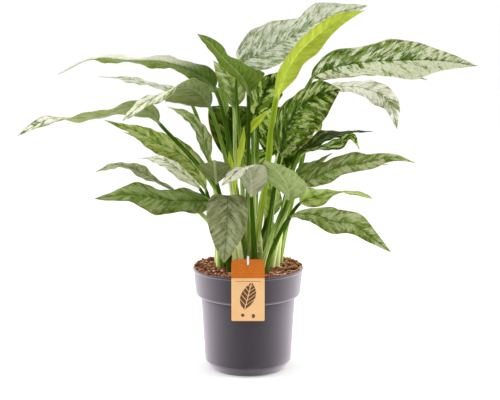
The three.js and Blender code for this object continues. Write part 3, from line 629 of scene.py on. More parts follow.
def cane_finish():
    """A green cane with corky flecks, brown at its foot."""
    finish = Finish("cane_skin", IOR=1.42, Subsurface_Weight=0.05, Subsurface_Scale=0.002)
    place = finish.place()
    height = finish.split(place)[2]
    streaks = finish.cloud(place, 160, 3.0)
    fleck = finish.cloud(place, 900, 2.0)
    finish.colour(
        "#98a854",
        (streaks.over(0.35, 0.7), "#c8d288"),
        (fleck.over(0.62, 0.7) * 0.5, "#7d6a3c"),
        ((0.175 - height).over(0, 0.02) * 0.7, "#8a6a3f"))
    finish.feed("Roughness", 0.4 + fleck * 0.25)
    finish.bump(streaks, 0.0005, 0.6)
    return finish.material


def tag_finish(settings):
    """Printed card: a warm band at the top, a cream field with a leaf, a sun and a drop."""
    sizes = {name: size * MM for name, size in PRINT.items()}
    finish = Finish("tag_print", IOR=1.3)
    place = finish.place()
    x, _, z = finish.split(place)
    field_top = (TAG["bottom"] + TAG["length"] - TAG["band"]) * MM
    grain = finish.cloud(place, 500, 3.0)
    fade = finish.cloud(place, 30, 2.0).over(0.3, 0.7)
    band = finish.paint((*settings.band_colour, 1), (fade * 0.35, "#b4560f"))
    field = finish.paint((*settings.field_colour, 1), (fade * 0.3, "#f6cf98"))

    def inside(edge):
        """1 where edge is above 0, with a printed edge's sharpness."""
        return edge.over(-sizes["blur"], sizes["blur"])

    # The leaf leans to the right, about an upright axis that is turned by a slope.
    above = z - (TAG["bottom"] * MM + sizes["leaf_middle"])
    up = above / sizes["leaf_half_length"]
    off = abs(x - above * PRINT["leaf_lean"])
    vein = (z - off * 0.9).fold(sizes["vein_gap"])
    leaf = inside((1 - up * up) * sizes["leaf_half_width"] - off)
    leaf = leaf * inside(off - sizes["rib"]) * inside(vein - sizes["vein"])
    height = z - (TAG["bottom"] * MM + sizes["signs"])
    sun_x, drop_x = x + sizes["sign_aside"], x - sizes["sign_aside"]
    sun = inside(sizes["sign_radius"] - (sun_x * sun_x + height * height) ** 0.5)
    taper = 1 - height.over(-0.0005, 0.004)
    drop = inside(taper * sizes["sign_radius"] - (drop_x * drop_x + height * height * 0.3) ** 0.5)
    rule = inside(sizes["rule"] - abs(z - (field_top - sizes["rule_drop"])))
    rule = rule * inside(sizes["rule_half"] - abs(x))
    on_front = finish.split(finish.node("ShaderNodeNewGeometry", None, None, "Normal"))[1]
    marks = (leaf + sun + drop + rule).over(0.4, 0.6) * (0 - on_front).over(0.4, 0.6)

    above_field = (z - field_top).over(-0.0001, 0.0001)
    worn = grain.over(0.55, 0.8) * 0.12
    finish.colour(field, (above_field, band), (marks * 0.92, "#4f1d09"), (worn, "#ffffff"))
    finish.feed("Roughness", 0.42 + grain * 0.2)
    finish.bump(grain, 0.0001, 0.4)
    return finish.material


def hook_finish():
    """Milky plastic."""
    finish = Finish("hook_plastic", IOR=1.48, Subsurface_Weight=0.2, Subsurface_Scale=0.001)
    speck = finish.cloud(finish.place(), 600, 2.0)
    finish.colour("#f2f1ea", (speck.over(0.4, 0.7), "#dcdad2"))
    finish.feed("Roughness", 0.3 + speck * 0.15)
    return finish.material


# ---- Making pieces ----

def fresh():
    """Leaves nothing selected, so that an operator acts only on what comes next."""
    if bpy.context.object and bpy.context.object.mode != "OBJECT":
        bpy.ops.object.mode_set(mode="OBJECT")
    bpy.ops.object.select_all(action="DESELECT")


def start(name, add, **options):
    """Runs the operator that adds a primitive, a light or a camera, and names what it makes."""
    fresh()
    add(**options)
    piece = bpy.context.object
    piece.name = name
    piece.data.name = name
    return piece


def only(piece):
    """Selects one piece and nothing else."""
    fresh()
    bpy.context.view_layer.objects.active = piece
    piece.select_set(True)


def edit(piece, *steps):
    """Runs operators on the whole of a piece in edit mode."""
    only(piece)
    bpy.ops.object.mode_set(mode="EDIT")
    bpy.ops.mesh.select_mode(type="VERT")
    bpy.ops.mesh.select_all(action="SELECT")
    for operator, options in steps:
        operator(**options)
    bpy.ops.object.mode_set(mode="OBJECT")


def edit_some(piece, kind, wanted, operator, **options):
    """Runs an operator in edit mode on the vertices (VERT) or edges (EDGE) for which wanted is true."""
    only(piece)
    bpy.ops.object.mode_set(mode="EDIT")
    bpy.ops.mesh.select_mode(type=kind)
    bpy.ops.mesh.select_all(action="DESELECT")
    bpy.ops.object.mode_set(mode="OBJECT")
    for item in piece.data.vertices if kind == "VERT" else piece.data.edges:
        item.select = wanted(item)
    bpy.ops.object.mode_set(mode="EDIT")
    operator(**options)
    bpy.ops.object.mode_set(mode="OBJECT")


def modify(piece, kind, **options):
    """Adds a modifier and applies it."""
    only(piece)
    modifier = piece.modifiers.new(kind.title(), kind)
    for key, value in options.items():
        setattr(modifier, key, value)
    bpy.ops.object.modifier_apply(modifier=modifier.name)


def bore(piece, radius, depth, at, rotation=(0, 0, 0)):
    """Cuts a round hole through a piece. Its sizes and its middle's place are in millimetres."""
    drill = start("drill", bpy.ops.mesh.primitive_cylinder_add, vertices=HOLE_SIDES, radius=radius * MM,
                  depth=depth * MM, location=Vector(at) * MM, rotation=rotation)
    modify(piece, "BOOLEAN", operation="DIFFERENCE", object=drill, solver="EXACT")
    bpy.data.objects.remove(drill)


def settle(piece, slot, material, *nodes, crease=40):
    """Shades a finished piece, gives it its material, and ties it to the frame."""
    only(piece)
    bpy.ops.object.transform_apply(location=True, rotation=True, scale=True)
    bpy.ops.object.shade_smooth_by_angle(angle=math.radians(crease))
    piece.data.materials.clear()
    piece.data.materials.append(material)
    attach(piece, "root")
    if nodes:
        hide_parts(*nodes)


def drawn(name, points):
    """An open line through points in millimetres: a circle with as many corners, less its closing edge."""
    piece = start(name, bpy.ops.mesh.primitive_circle_add, vertices=len(points), radius=10 * MM)
    for vertex, point in zip(piece.data.vertices, points):
        vertex.co = [part * MM for part in point]
    ends = {0, len(points) - 1}
    edit_some(piece, "EDGE", lambda edge: set(edge.vertices) == ends, bpy.ops.mesh.delete, type="EDGE")
    return piece


def spun(name, profile, steps):
    """A closed shell: a line of (radius, height) points in millimetres, spun once round the upright axis."""
    piece = drawn(name, [(radius, 0, height) for radius, height in profile])
    turn = {"steps": steps, "angle": 2 * math.pi, "center": (0, 0, 0), "axis": (0, 0, 1)}
    edit(piece, (bpy.ops.mesh.spin, turn))
    edit(piece, (bpy.ops.mesh.remove_doubles, {"threshold": 1e-6}),
         (bpy.ops.mesh.normals_make_consistent, {"inside": False}))
    return piece


def rounded(corners, radius, steps=4):
    """The line through the corners, with each inner corner turned into a short curve."""
    points = [np.array(c, float) for c in corners]
    made = [tuple(points[0])]
    for before, corner, after in zip(points, points[1:], points[2:]):
        into, out = before - corner, after - corner
        reach = min(radius, np.linalg.norm(into) * 0.45, np.linalg.norm(out) * 0.45)
        start = corner + into / np.linalg.norm(into) * reach
        end = corner + out / np.linalg.norm(out) * reach
        for t in np.linspace(0, 1, steps):
            made.append(tuple((1 - t) ** 2 * start + 2 * t * (1 - t) * corner + t * t * end))
    return made + [tuple(points[-1])]


def places(piece):
    """Every vertex of a piece as rows of x, y, z."""
    flat = np.empty(len(piece.data.vertices) * 3)
    piece.data.vertices.foreach_get("co", flat)
    return flat.reshape(-1, 3)


def put(piece, rows):
    """Moves the vertices of a piece to rows of x, y, z."""
    piece.data.vertices.foreach_set("co", np.asarray(rows, float).ravel())
    piece.data.update()


def note(piece, name, kind, values):
    """Stores numbers with the vertices of a piece, for its material to read."""
    attribute = piece.data.attributes.new(name, kind, "POINT")
    attribute.data.foreach_set("vector" if kind == "FLOAT_VECTOR" else "value", np.ravel(values))


def smooth(x, low, high):
    t = np.clip((np.asarray(x, float) - low) / (high - low), 0, 1)
    return t * t * (3 - 2 * t)


def mixed(first, second, share):
    return first + (second - first) * share


# ---- Pot and soil ----

def pot_inside():
    """The pot's inner wall, from the middle of its floor up to the rim."""
    wall = POT["wall"]
    return [
        (0, wall),
        (POT["pad_radius"] + 1, wall),
        (POT["pad_radius"] + 3, wall + POT["channel_depth"]),
        (POT["foot_radius"] - 10, wall + POT["channel_depth"]),
        (POT["foot_radius"] - 8, wall),
        (POT["foot_radius"] - 2, wall),
        (POT["body_base_radius"] - 3.2, POT["foot_height"]),
        (POT["body_base_radius"] - wall, POT["foot_height"] + 4),
        (POT["body_top_radius"] - wall, POT["collar_base"] + 1.2),
        (POT["collar_radius"] - wall - 1, POT["collar_base"] + 3),
        (POT["collar_radius"] - wall + 0.4, POT["collar_base"] + 5.5),
        (POT["rim_radius"] - wall - 1, POT["height"] - 4),
    ]


def pot_outside():
    """The pot's outer wall, from the rim down to the middle of its underside."""
    return [
        (POT["rim_radius"] - POT["wall"] - 1, POT["height"] - 0.6),
        (POT["rim_radius"] - 1, POT["height"]),
        (POT["rim_radius"] + 0.6, POT["height"] - 1),
        (POT["rim_radius"] + 0.6, POT["height"] - 3.2),
        (POT["rim_radius"] - 0.6, POT["height"] - 4.4),
        (POT["collar_radius"] + 0.6, POT["collar_base"] + 4),
        (POT["collar_radius"] - 1.2, POT["collar_base"] + 0.8),
        (POT["collar_radius"] - 3.4, POT["collar_base"]),
        (POT["body_top_radius"], POT["collar_base"] - 1),
        (POT["body_base_radius"], POT["foot_height"] + 3),
        (POT["body_base_radius"] - 1.6, POT["foot_height"]),
        (POT["foot_radius"] + 1, 1.5),
        (POT["foot_radius"] - 1, 0),
        (POT["foot_radius"] - 7, 0),
        (POT["foot_radius"] - 9, POT["channel_depth"]),
        (POT["pad_radius"] + 2, POT["channel_depth"]),
        (POT["pad_radius"], 0),
        (0, 0),
    ]


def soil_height(x, y):
    """How high the soil stands, in millimetres, at a place in the pot."""
    share = (x * x + y * y) / POT["rim_radius"] ** 2
    coarse = math.sin(0.31 * x + 1.7) * math.cos(0.27 * y - 0.6)
    fine = math.sin(0.83 * x - 0.49 * y) + math.cos(0.71 * y + 0.37 * x + 2.1)
    crumb = SOIL["relief"] * (0.6 * coarse + 0.4 * fine)
    return mixed(SOIL["crown"], SOIL["edge"], share) + crumb


def heap(share):
    """How far the soil is heaped up, in millimetres, at a share of the way to the pot's wall."""
    return SOIL["heap"] * share ** 6


class EvergreenPotSettings(bpy.types.PropertyGroup):
    colour: FloatVectorProperty(
        name="Colour", description="The plastic's colour", default=(0.005, 0.004, 0.006),
        subtype="COLOR", min=0, max=1)
    roughness: FloatProperty(
        name="Roughness", description="How rough the plastic is", default=0.42, subtype="FACTOR",
        min=0, max=1)
    sides: IntProperty(name="Sides", description="Faces round the pot", default=144, min=48, max=256)


class EVERGREEN_OT_pot(bpy.types.Operator):
    """Spins the pot's wall, softens its edges and cuts its drain holes"""

    bl_idname = "evergreen.pot"
    bl_label = "Pot"

    def execute(self, context):
        settings = context.scene.evergreen.pot
        profile = rounded(pot_outside()[::-1] + pot_inside()[::-1], POT["softening"])
        pot = spun("pot_shell", profile, settings.sides)
        for i in range(POT["drain_holes"]):
            angle = 2 * math.pi * i / POT["drain_holes"]
            at = Vector((math.cos(angle), math.sin(angle), 0)) * POT["drain_circle"]
            bore(pot, POT["drain_radius"], 4 * POT["foot_height"], at)
        settle(pot, "pot", pot_finish(settings), "pot", crease=32)
        return {"FINISHED"}


class EvergreenSoilSettings(bpy.types.PropertyGroup):
    step: FloatProperty(
        name="Step", description="Distance between the rings of the soil's surface", default=1.6 * MM,
        unit="LENGTH", min=0.5 * MM)
    chips: IntProperty(name="Chips", description="How many bark chips lie on the soil", default=1500, min=0)
    crumbs: IntProperty(
        name="Crumbs", description="How many small crumbs lie on the soil", default=2600, min=0)
    chip_length: FloatProperty(
        name="Chip length", description="A large chip's length", default=9 * MM, unit="LENGTH")
    seed: IntProperty(name="Seed", description="Start of the random draw of the chips", default=7)


class EVERGREEN_OT_soil(bpy.types.Operator):
    """Fills the pot with soil whose surface is raised into crumbs"""

    bl_idname = "evergreen.soil"
    bl_label = "Soil"

    def execute(self, context):
        gap = SOIL["gap"]
        floor = POT["wall"] + POT["channel_depth"] + gap
        side = [(r - gap, z + gap) for r, z in pot_inside()[6:-1]]
        step = context.scene.evergreen.soil.step / MM
        edge = POT["rim_radius"] - POT["wall"] - 1 - gap
        top = [(r, SOIL["edge"] + 1.5) for r in np.arange(edge, step, -step)]
        profile = [(0, floor), (POT["foot_radius"] - 2 - gap, floor), *side, *top, (0, SOIL["crown"])]
        soil = spun("soil_fill", profile, context.scene.evergreen.pot.sides)
        rows = places(soil)
        for row in rows:
            x, y = row[0] / MM, row[1] / MM
            if row[2] > (SOIL["edge"] - 2) * MM:
                rough = noise.noise(Vector((x, y, 0)) * 0.22) + 0.6 * noise.noise(Vector((x, y, 9)) * 0.6)
                row[2] = (soil_height(x, y) + heap(math.hypot(x, y) / edge) + SOIL["lumps"] * rough) * MM
        put(soil, rows)
        settle(soil, "soil", soil_finish(), "soil", crease=60)
        return {"FINISHED"}


def strewn(name, count, lengths, seed):
    """Shards of bark, one modelled and the rest copied, each turned, bent and sized by a seeded draw."""
    shard = start("shard", bpy.ops.mesh.primitive_ico_sphere_add, subdivisions=1, radius=0.5)
    base = places(shard)
    triangles = np.array([list(p.vertices) for p in shard.data.polygons])
    bpy.data.objects.remove(shard)
    draw = np.random.default_rng(seed)
    corners, faces, tones = [], [], []
    for i in range(count):
        radius = SOIL["radius"] * math.sqrt(draw.random())
        bearing = 2 * math.pi * draw.random()
        x, y = radius * math.cos(bearing), radius * math.sin(bearing)
        length = draw.uniform(*lengths)
        shape = base * (1 + draw.uniform(-CHIP["uneven"], CHIP["uneven"], base.shape))
        shape = shape * [length, length * draw.uniform(*CHIP["width"]), length * draw.uniform(*CHIP["height"])]
        tilt, turn = draw.normal(0, CHIP["tilt"]), 2 * math.pi * draw.random()
        lean = [[1, 0, 0], [0, math.cos(tilt), -math.sin(tilt)], [0, math.sin(tilt), math.cos(tilt)]]
        spin = [[math.cos(turn), -math.sin(turn), 0], [math.sin(turn), math.cos(turn), 0], [0, 0, 1]]
        height = (soil_height(x, y) + heap(radius / SOIL["radius"])) * MM
        height += length * draw.uniform(*CHIP["lift"])
        corners.append(shape @ np.transpose(lean) @ np.transpose(spin) + [x * MM, y * MM, height])
        faces.append(triangles + i * len(base))
        tones.append(np.full(len(base), draw.random()))
    mesh = bpy.data.meshes.new(name)
    mesh.from_pydata(np.concatenate(corners).tolist(), [], np.concatenate(faces).tolist())
    piece = bpy.data.objects.new(name, mesh)
    bpy.context.scene.collection.objects.link(piece)
    note(piece, "tone", "FLOAT", np.concatenate(tones))
    return piece


class EVERGREEN_OT_bark(bpy.types.Operator):
    """Strews bark chips and crumbs over the soil"""

    bl_idname = "evergreen.bark"
    bl_label = "Bark chips"

    def execute(self, context):
        settings = context.scene.evergreen.soil
        bark = bark_finish()
        chips, crumbs = ([settings.chip_length * share for share in CHIP[size]]
                         for size in ("length", "crumb_length"))
        settle(strewn("bark_chips", settings.chips, chips, settings.seed), "soil", bark, crease=20)
        settle(strewn("bark_crumbs", settings.crumbs, crumbs, settings.seed + 1), "soil", bark, crease=20)
        return {"FINISHED"}


# ---- Canes ----

class EvergreenCaneSettings(bpy.types.PropertyGroup):
    sides: IntProperty(name="Sides", description="Faces round a cane", default=24, min=8)
    scar_gap: FloatProperty(
        name="Scar gap", description="Height between two leaf scars", default=9 * MM, unit="LENGTH")


class EVERGREEN_OT_canes(bpy.types.Operator):
    """Spins each cane, with a ring at every leaf scar and a pointed tip"""

    bl_idname = "evergreen.canes"
    bl_label = "Canes"

    def execute(self, context):
        settings = context.scene.evergreen.canes
        material = cane_finish()
        crown, tip = SOIL["crown"], CANE["tip_radius"]
        foot = crown - STALK["buried"]
        for name, (at, rise) in CANES.items():
            top = crown + rise
            profile = [(0, foot), (CANE["radius"], foot)]
            for z in np.arange(crown + CANE["first_scar"], top - CANE["bare_top"], settings.scar_gap / MM):
                r = mixed(CANE["radius"], tip + 1.6, (z - crown) / rise)
                profile += [(r + out, z + up) for out, up in SCAR]
            profile += [(tip + 1.2, top - 8), (tip, top), (0, top + CANE["point"])]
            cane = spun(f"{name}_skin", profile, settings.sides)
            put(cane, places(cane) + [at[0] * MM, at[1] * MM, 0])
            settle(cane, "cane", material, name, crease=50)
        return {"FINISHED"}


# ---- Leaves ----

UP = np.array([0.0, 0.0, 1.0])
# Places across the blade, from the midrib to the margin, as shares of its half width.
HALF_SECTION = [0.06, 0.14, 0.25, 0.38, 0.52, 0.66, 0.8, 0.92, 1]
ACROSS = np.array([*HALF_SECTION[::-1], 0, *[-v for v in HALF_SECTION]])
RING = 2 * len(ACROSS)


def unit(v):
    return v / np.linalg.norm(v, axis=-1, keepdims=True)


class Spine:
    """A smooth centripetal Catmull-Rom curve through points, read from 0 at its first to 1 at its last."""

    def __init__(self, points):
        p = np.array(points, float)
        self.spans = len(p) - 1
        self.points = np.vstack([2 * p[0] - p[1], p, 2 * p[-1] - p[-2]])
        self.steps = np.linalg.norm(np.diff(self.points, axis=0), axis=1) ** 0.5

    def at(self, t):
        t = np.clip(np.atleast_1d(t), 0, 1) * self.spans
        i = np.minimum(t.astype(int), self.spans - 1)
        w = (t - i)[:, None]
        a, b, c, d = (self.points[i + k] for k in range(4))
        before, within, after = (self.steps[i + k][:, None] for k in range(3))
        leave = ((b - a) / before - (c - a) / (before + within) + (c - b) / within) * within
        arrive = ((c - b) / within - (d - b) / (within + after) + (d - c) / after) * within
        square, cube = w * w, w * w * w
        return b + leave * w + (3 * (c - b) - 2 * leave - arrive) * square \
            + (2 * (b - c) + leave + arrive) * cube

    def along(self, t):
        t = np.atleast_1d(t)
        return unit(self.at(t + 1e-4) - self.at(t - 1e-4))

    def stretch(self, start, end, shares):
        """Curve numbers at shares of the length between start and end, and that length."""
        t = np.linspace(start, end, 241)
        reach = np.concatenate([[0], np.cumsum(np.linalg.norm(np.diff(self.at(t), axis=0), axis=1))])
        return np.interp(np.array(shares) * reach[-1], reach, t), reach[-1]


def spine_of(leaf):
    """The spine of a leaf: three points up its stalk, and on along the midrib to the tip."""
    canes = list(CANES.values())
    collar = np.array(leaf.line[0], float)
    if leaf.tip_of is not None:
        # A rolled young leaf stands on its cane's tip, and has no stalk of its own in the soil.
        at, rise = canes[leaf.tip_of]
        top = SOIL["crown"] + rise
        middle = [*mixed(np.array(at), collar[:2], 0.5), mixed(top, collar[2], 0.55)]
        return Spine([[*at, top - SPEAR["sunk"]], [*at, top + SPEAR["rise"]], middle, *leaf.line])
    cane, bearing = leaf.by
    out = CANE["radius"] + STALK["foot_radius"] + STALK["beside"]
    angle = math.radians(bearing)
    foot = np.array(canes[cane][0]) + [out * math.cos(angle), out * math.sin(angle)]
    elbow = [*mixed(foot, collar[:2], leaf.lean), mixed(SOIL["crown"], collar[2], 0.5)]
    low, high = SOIL["crown"] - STALK["buried"], SOIL["crown"] + STALK["rise"]
    return Spine([[*foot, low], [*foot, high], elbow, *leaf.line])


def facing(along, level, roll):
    """Directions to the left of a leaf and out of its upper face, rolled about its line."""
    left = unit(level - (along @ level)[:, None] * along)
    up = np.cross(along, left)
    angle = np.radians(roll)[:, None]
    return left * np.cos(angle) + up * np.sin(angle), up * np.cos(angle) - left * np.sin(angle)


def rolled(roll, share):
    """The roll at shares of the blade's length: a curve through its three values."""
    base, middle, tip = roll
    rest = 1 - share
    return base * rest * (1 - 2 * share) + middle * 4 * share * rest + tip * share * (2 * share - 1)


def outline(share):
    """The plain outline's width at shares of the blade's length, 1 where it is widest."""
    widest = BLADE["to_widest"] / (BLADE["to_widest"] + BLADE["to_tip"])
    return (share / widest) ** BLADE["to_widest"] * ((1 - share) / (1 - widest)) ** BLADE["to_tip"]


def bulge(factors, share):
    """How wide a half of the blade is beside the plain outline, at shares of its length."""
    factors = np.array([factors[0], *factors, factors[-1]])
    place = share * (len(factors) - 1)
    i = np.minimum(place.astype(int), len(factors) - 2)
    return mixed(factors[i], factors[i + 1], smooth(place - i, 0, 1))


def round_rings(points, left, up, radius, groove):
    """Round sections with a groove along their upper side."""
    angle = 2 * np.pi * (np.arange(RING) + 0.5) / RING
    dent = 1 - groove[:, None] * np.exp(-((angle - np.pi / 2) / STALK["groove_reach"]) ** 2)
    reach = (radius[:, None] * dent)[..., None]
    turn = np.cos(angle)[None, :, None] * left[:, None] + np.sin(angle)[None, :, None] * up[:, None]
    return points[:, None] + reach * turn


def stalk_rings(leaf, spine, level, shares):
    """The stalk's rings, at shares of its length from the soil to the collar, and that length."""
    t, length = spine.stretch(1 / spine.spans, 3 / spine.spans, shares[1:])
    points = np.vstack([spine.at(0), spine.at(t)])
    along = np.vstack([UP, spine.along(t)])
    left, up = facing(along, level, leaf.roll[0] * shares)
    swell = mixed(1, leaf.sheath, smooth(shares, 0.3, 0.8))
    radius = mixed(STALK["foot_radius"], STALK["neck_radius"], shares) * swell
    return round_rings(points, left, up, radius, STALK["groove"] * smooth(shares, 0.05, 0.4)), length


def blade_rings(leaf, number, spine, level, shares, settings):
    """The blade's rings, as a thin, folded and waved sheet with a keel, its half widths and its length."""
    t, length = spine.stretch(3 / spine.spans, 1, shares)
    points, along = spine.at(t), spine.along(t)
    left, up = facing(along, level, rolled(leaf.roll, shares))
    s, v = shares[:, None], ACROSS[None, :]
    out = np.abs(v)
    left_edge, right_edge = (bulge(factors, s) for factors in leaf.edge)
    width = np.maximum(BLADE["least_half"], leaf.half * outline(s) * np.where(v < 0, right_edge, left_edge))
    tilt = np.radians(leaf.fold) * (1 - BLADE["unfolding"] * s)
    x = v * width * np.cos(tilt)

    # Broad waves, small ripples along the margin, and raised quilting between the side veins.
    height, count, start = leaf.wave
    calm = 4 * s * (1 - s)
    other_side = np.where(v < 0, 0.3, 0)
    wave = height * calm * v * v * np.sin(2 * np.pi * (count * s + start + other_side))
    ripples = np.sin(2 * np.pi * (BLADE["ripples"] * count * s + 0.37 * number + 2 * other_side))
    ripple = settings.ripple / MM * calm * out ** 3 * ripples
    on_vein = s * length - np.abs(x) * BLADE["vein_slope"] + 0.31 * number
    quilt = np.cos(2 * np.pi * on_vein / BLADE["vein_gap"])
    band = smooth(out, 0.04, 0.25) * (1 - 0.7 * smooth(out, 0.75, 1)) * smooth(width, 3, 14)
    relief = -BLADE["vein_relief"] * np.maximum(quilt, -0.3) * band
    lift = width * (np.sin(tilt) * out - BLADE["arch"] * v * v) + wave + ripple + relief
    thick = mixed(1, BLADE["margin"], smooth(out, 0.5, 1)) * settings.thickness / MM / 2
    keel = (BLADE["keel"] * (1 - s) + 0.2) * np.exp(-(x / BLADE["keel_half"]) ** 2)
    dip = BLADE["groove"] * (1 - s) * np.exp(-(x / BLADE["groove_half"]) ** 2)

    def sheet(height_of):
        return points[:, None] + x[..., None] * left[:, None] + height_of[..., None] * up[:, None]

    blade = np.concatenate([sheet(lift + thick - dip), sheet(lift - thick - keel)[:, ::-1]], axis=1)
    # The stalk's round section turns into the blade's over a short neck.
    neck_radius = mixed(STALK["neck_radius"] * leaf.sheath, 1.2, shares)
    neck = round_rings(points, left, up, neck_radius, np.full(len(shares), BLADE["neck_groove"]))
    turning = (1 - smooth(shares, 0, BLADE["neck_share"]))[:, None, None]
    return mixed(blade, neck, turning), width, length


def leaf_rings(leaf, number, settings):
    """Every ring of a leaf from foot to tip, in millimetres, and what its material reads of each point.

    Grain is the way across and along the leaf in metres, and its number. Site is the way across and along as
    shares, with the stalk from -1 to 0 and the blade from 0 to 1, and whether the face is the upper one.
    """
    spine = spine_of(leaf)
    heading = np.array(leaf.line[-1], float) - leaf.line[0]
    level = np.cross(UP, unit(heading * [1, 1, 0]))
    up_stalk = np.concatenate([[0], np.linspace(0, 1, settings.stalk_rings)])
    on_blade = np.linspace(0.002, 1, settings.blade_rings)
    stalk, stalk_length = stalk_rings(leaf, spine, level, up_stalk)
    blade, width, length = blade_rings(leaf, number, spine, level, on_blade, settings)

    v = np.concatenate([ACROSS, ACROSS[::-1]])
    width = np.vstack([np.zeros((len(up_stalk), RING)), np.hstack([width, width[:, ::-1]])]) * v
    share = np.concatenate([up_stalk - 1, on_blade])[:, None]
    along = np.concatenate([(up_stalk - 1) * stalk_length, on_blade * length])[:, None]
    upper = np.arange(RING) < len(ACROSS)

    def each(*parts):
        return np.stack([np.broadcast_to(part, width.shape) for part in parts], axis=-1)

    return np.concatenate([stalk, blade]), each(width * MM, along * MM, number * 3.7), each(v, share, upper)


class EvergreenLeafSettings(bpy.types.PropertyGroup):
    thickness: FloatProperty(
        name="Thickness", description="The blade's thickness beside its midrib", default=0.75 * MM,
        unit="LENGTH")
    ripple: FloatProperty(
        name="Ripple", description="Height of the small waves along the margin", default=0.9 * MM,
        unit="LENGTH")
    stalk_rings: IntProperty(name="Stalk rings", description="Rings up a stalk", default=18, min=6)
    blade_rings: IntProperty(name="Blade rings", description="Rings along a blade", default=84, min=20)


class EVERGREEN_OT_leaves(bpy.types.Operator):
    """Shapes every leaf from one ringed tube: its stalk, its neck and its blade"""

    bl_idname = "evergreen.leaves"
    bl_label = "Leaves"

    def execute(self, context):
        settings = context.scene.evergreen.leaves
        rings = settings.stalk_rings + 1 + settings.blade_rings
        blank = start("leaf_blank", bpy.ops.mesh.primitive_cylinder_add, vertices=RING, radius=1, depth=1)
        corners = blank.data.vertices

        def upright(edge):
            low, high = (corners[i].co.z for i in edge.vertices)
            return abs(low - high) > 0.5

        edit_some(blank, "EDGE", upright, bpy.ops.mesh.subdivide, number_cuts=rings - 2)
        rows = places(blank)
        ring = np.rint((rows[:, 2] + 0.5) * (rings - 1)).astype(int)
        spot = np.rint(np.arctan2(rows[:, 1], rows[:, 0]) * RING / (2 * np.pi)).astype(int) % RING
        materials = {}
        for number, leaf in enumerate(LEAVES + SPEARS, 1):
            name, nodes = f"leaf_{number:02d}_blade", [f"leaf_{number:02d}"]
            if leaf in SPEARS:
                name, nodes = f"spear_{number - len(LEAVES)}", []
            if leaf.look not in materials:
                materials[leaf.look] = leaf_finish(leaf.look)
            shape, grain, site = leaf_rings(leaf, number, settings)
            piece = bpy.data.objects.new(name, blank.data.copy())
            piece.data.name = name
            context.scene.collection.objects.link(piece)
            put(piece, shape[ring, spot] * MM)
            note(piece, "grain", "FLOAT_VECTOR", grain[ring, spot])
            note(piece, "site", "FLOAT_VECTOR", site[ring, spot])
            settle(piece, leaf.slot, materials[leaf.look], *nodes, crease=70)
        bpy.data.objects.remove(blank)
        return {"FINISHED"}


# ---- Tag and hook ----

class EvergreenTagSettings(bpy.types.PropertyGroup):
    band_colour: FloatVectorProperty(
        name="Band", description="The colour of the tag's top band", default=(0.6, 0.15, 0.004),
        subtype="COLOR", min=0, max=1)
    field_colour: FloatVectorProperty(
        name="Field", description="The colour of the tag below the band", default=(0.84, 0.49, 0.22),
        subtype="COLOR", min=0, max=1)


class EVERGREEN_OT_tag(bpy.types.Operator):
    """Cuts the card tag, with rounded corners, softened edges and a hole for its hook"""

    bl_idname = "evergreen.tag"
    bl_label = "Tag"

    def execute(self, context):
        width, length = TAG["width"] * MM, TAG["length"] * MM
        middle = (TAG["bottom"] + TAG["length"] / 2) * MM
        front = -(TAG["stand_off"] + TAG["thickness"])
        hole = TAG["bottom"] + TAG["length"] - TAG["hole_drop"]
        upright = (math.pi / 2, 0, 0)
        card = start("tag_card", bpy.ops.mesh.primitive_plane_add, size=1, rotation=upright,
                     location=(0, front * MM, middle))
        card.scale = (width, length, 1)
        bpy.ops.object.transform_apply(location=True, rotation=True, scale=True)
        for high, radius in ((True, TAG["corner_radius"]), (False, TAG["foot_corner_radius"])):

            def corner(vertex):
                return abs(vertex.co.x) > width / 2 - 1e-5 and (vertex.co.z > middle) == high

            edit_some(
                card, "VERT", corner, bpy.ops.mesh.bevel, offset=radius * MM, segments=8, affect="VERTICES")
        modify(card, "SOLIDIFY", thickness=TAG["thickness"] * MM, offset=-1)
        bore(card, TAG["hole_radius"], 20, (0, front, hole), upright)
        modify(card, "BEVEL", width=TAG["softening"] * MM, segments=2, limit_method="ANGLE")
        settle(card, "tag", tag_finish(context.scene.evergreen.tag), "tag", crease=35)
        return {"FINISHED"}


class EVERGREEN_OT_hook(bpy.types.Operator):
    """Bends the tag's plastic hook: up out of the soil, through the tag's hole, and up again"""

    bl_idname = "evergreen.hook"
    bl_label = "Tag hook"

    def execute(self, context):
        bar = TAG["bottom"] + TAG["length"] - TAG["hole_drop"]
        front = -(TAG["stand_off"] + TAG["thickness"] + HOOK["reach"]) + HOOK["bar"] / 2
        low, back = SOIL["edge"] - HOOK["buried"], HOOK["stand_y"]
        bends = [(back, low), (back, bar), (front, bar), (front, bar + HOOK["nose"])]
        line = rounded(bends, HOOK["bend"], 6)
        strip = drawn("tag_hook_strip", [(-HOOK["width"] / 2, y, z) for y, z in line])
        across = {"TRANSFORM_OT_translate": {"value": (HOOK["width"] * MM, 0, 0)}}
        edit(strip, (bpy.ops.mesh.extrude_region_move, across))
        edit(strip, (bpy.ops.mesh.normals_make_consistent, {"inside": False}))
        modify(strip, "SOLIDIFY", thickness=HOOK["strip"] * MM, offset=0)
        modify(strip, "BEVEL", width=HOOK["softening"] * MM, segments=3, limit_method="ANGLE")
        settle(strip, "hook", hook_finish(), "tag_hook", crease=40)
        return {"FINISHED"}


# ---- Stage, in metres and degrees ----

# The photograph's viewpoint, and its lens and sensor in millimetres.
CAMERA = {"at": (0.003, -2.3, 0.676), "down": 10.14, "lens": 109.08, "sensor": 36, "clip": (0.05, 200)}
# Each light's place, its width and height, and the setting that gives its power.
LIGHTS = {
    "light_left": ((-1.3, 0.2, 0.55), (1.3, 1.1), "side_light"),
    "light_right": ((1.3, 0.2, 0.55), (1.3, 1.1), "side_light"),
    "light_top": ((-0.2, -0.3, 1.9), (1.4, 1.2), "top_light"),
}
PLANT_MIDDLE = Vector((0, 0, 0.25))
FLOOR_RADIUS = 60


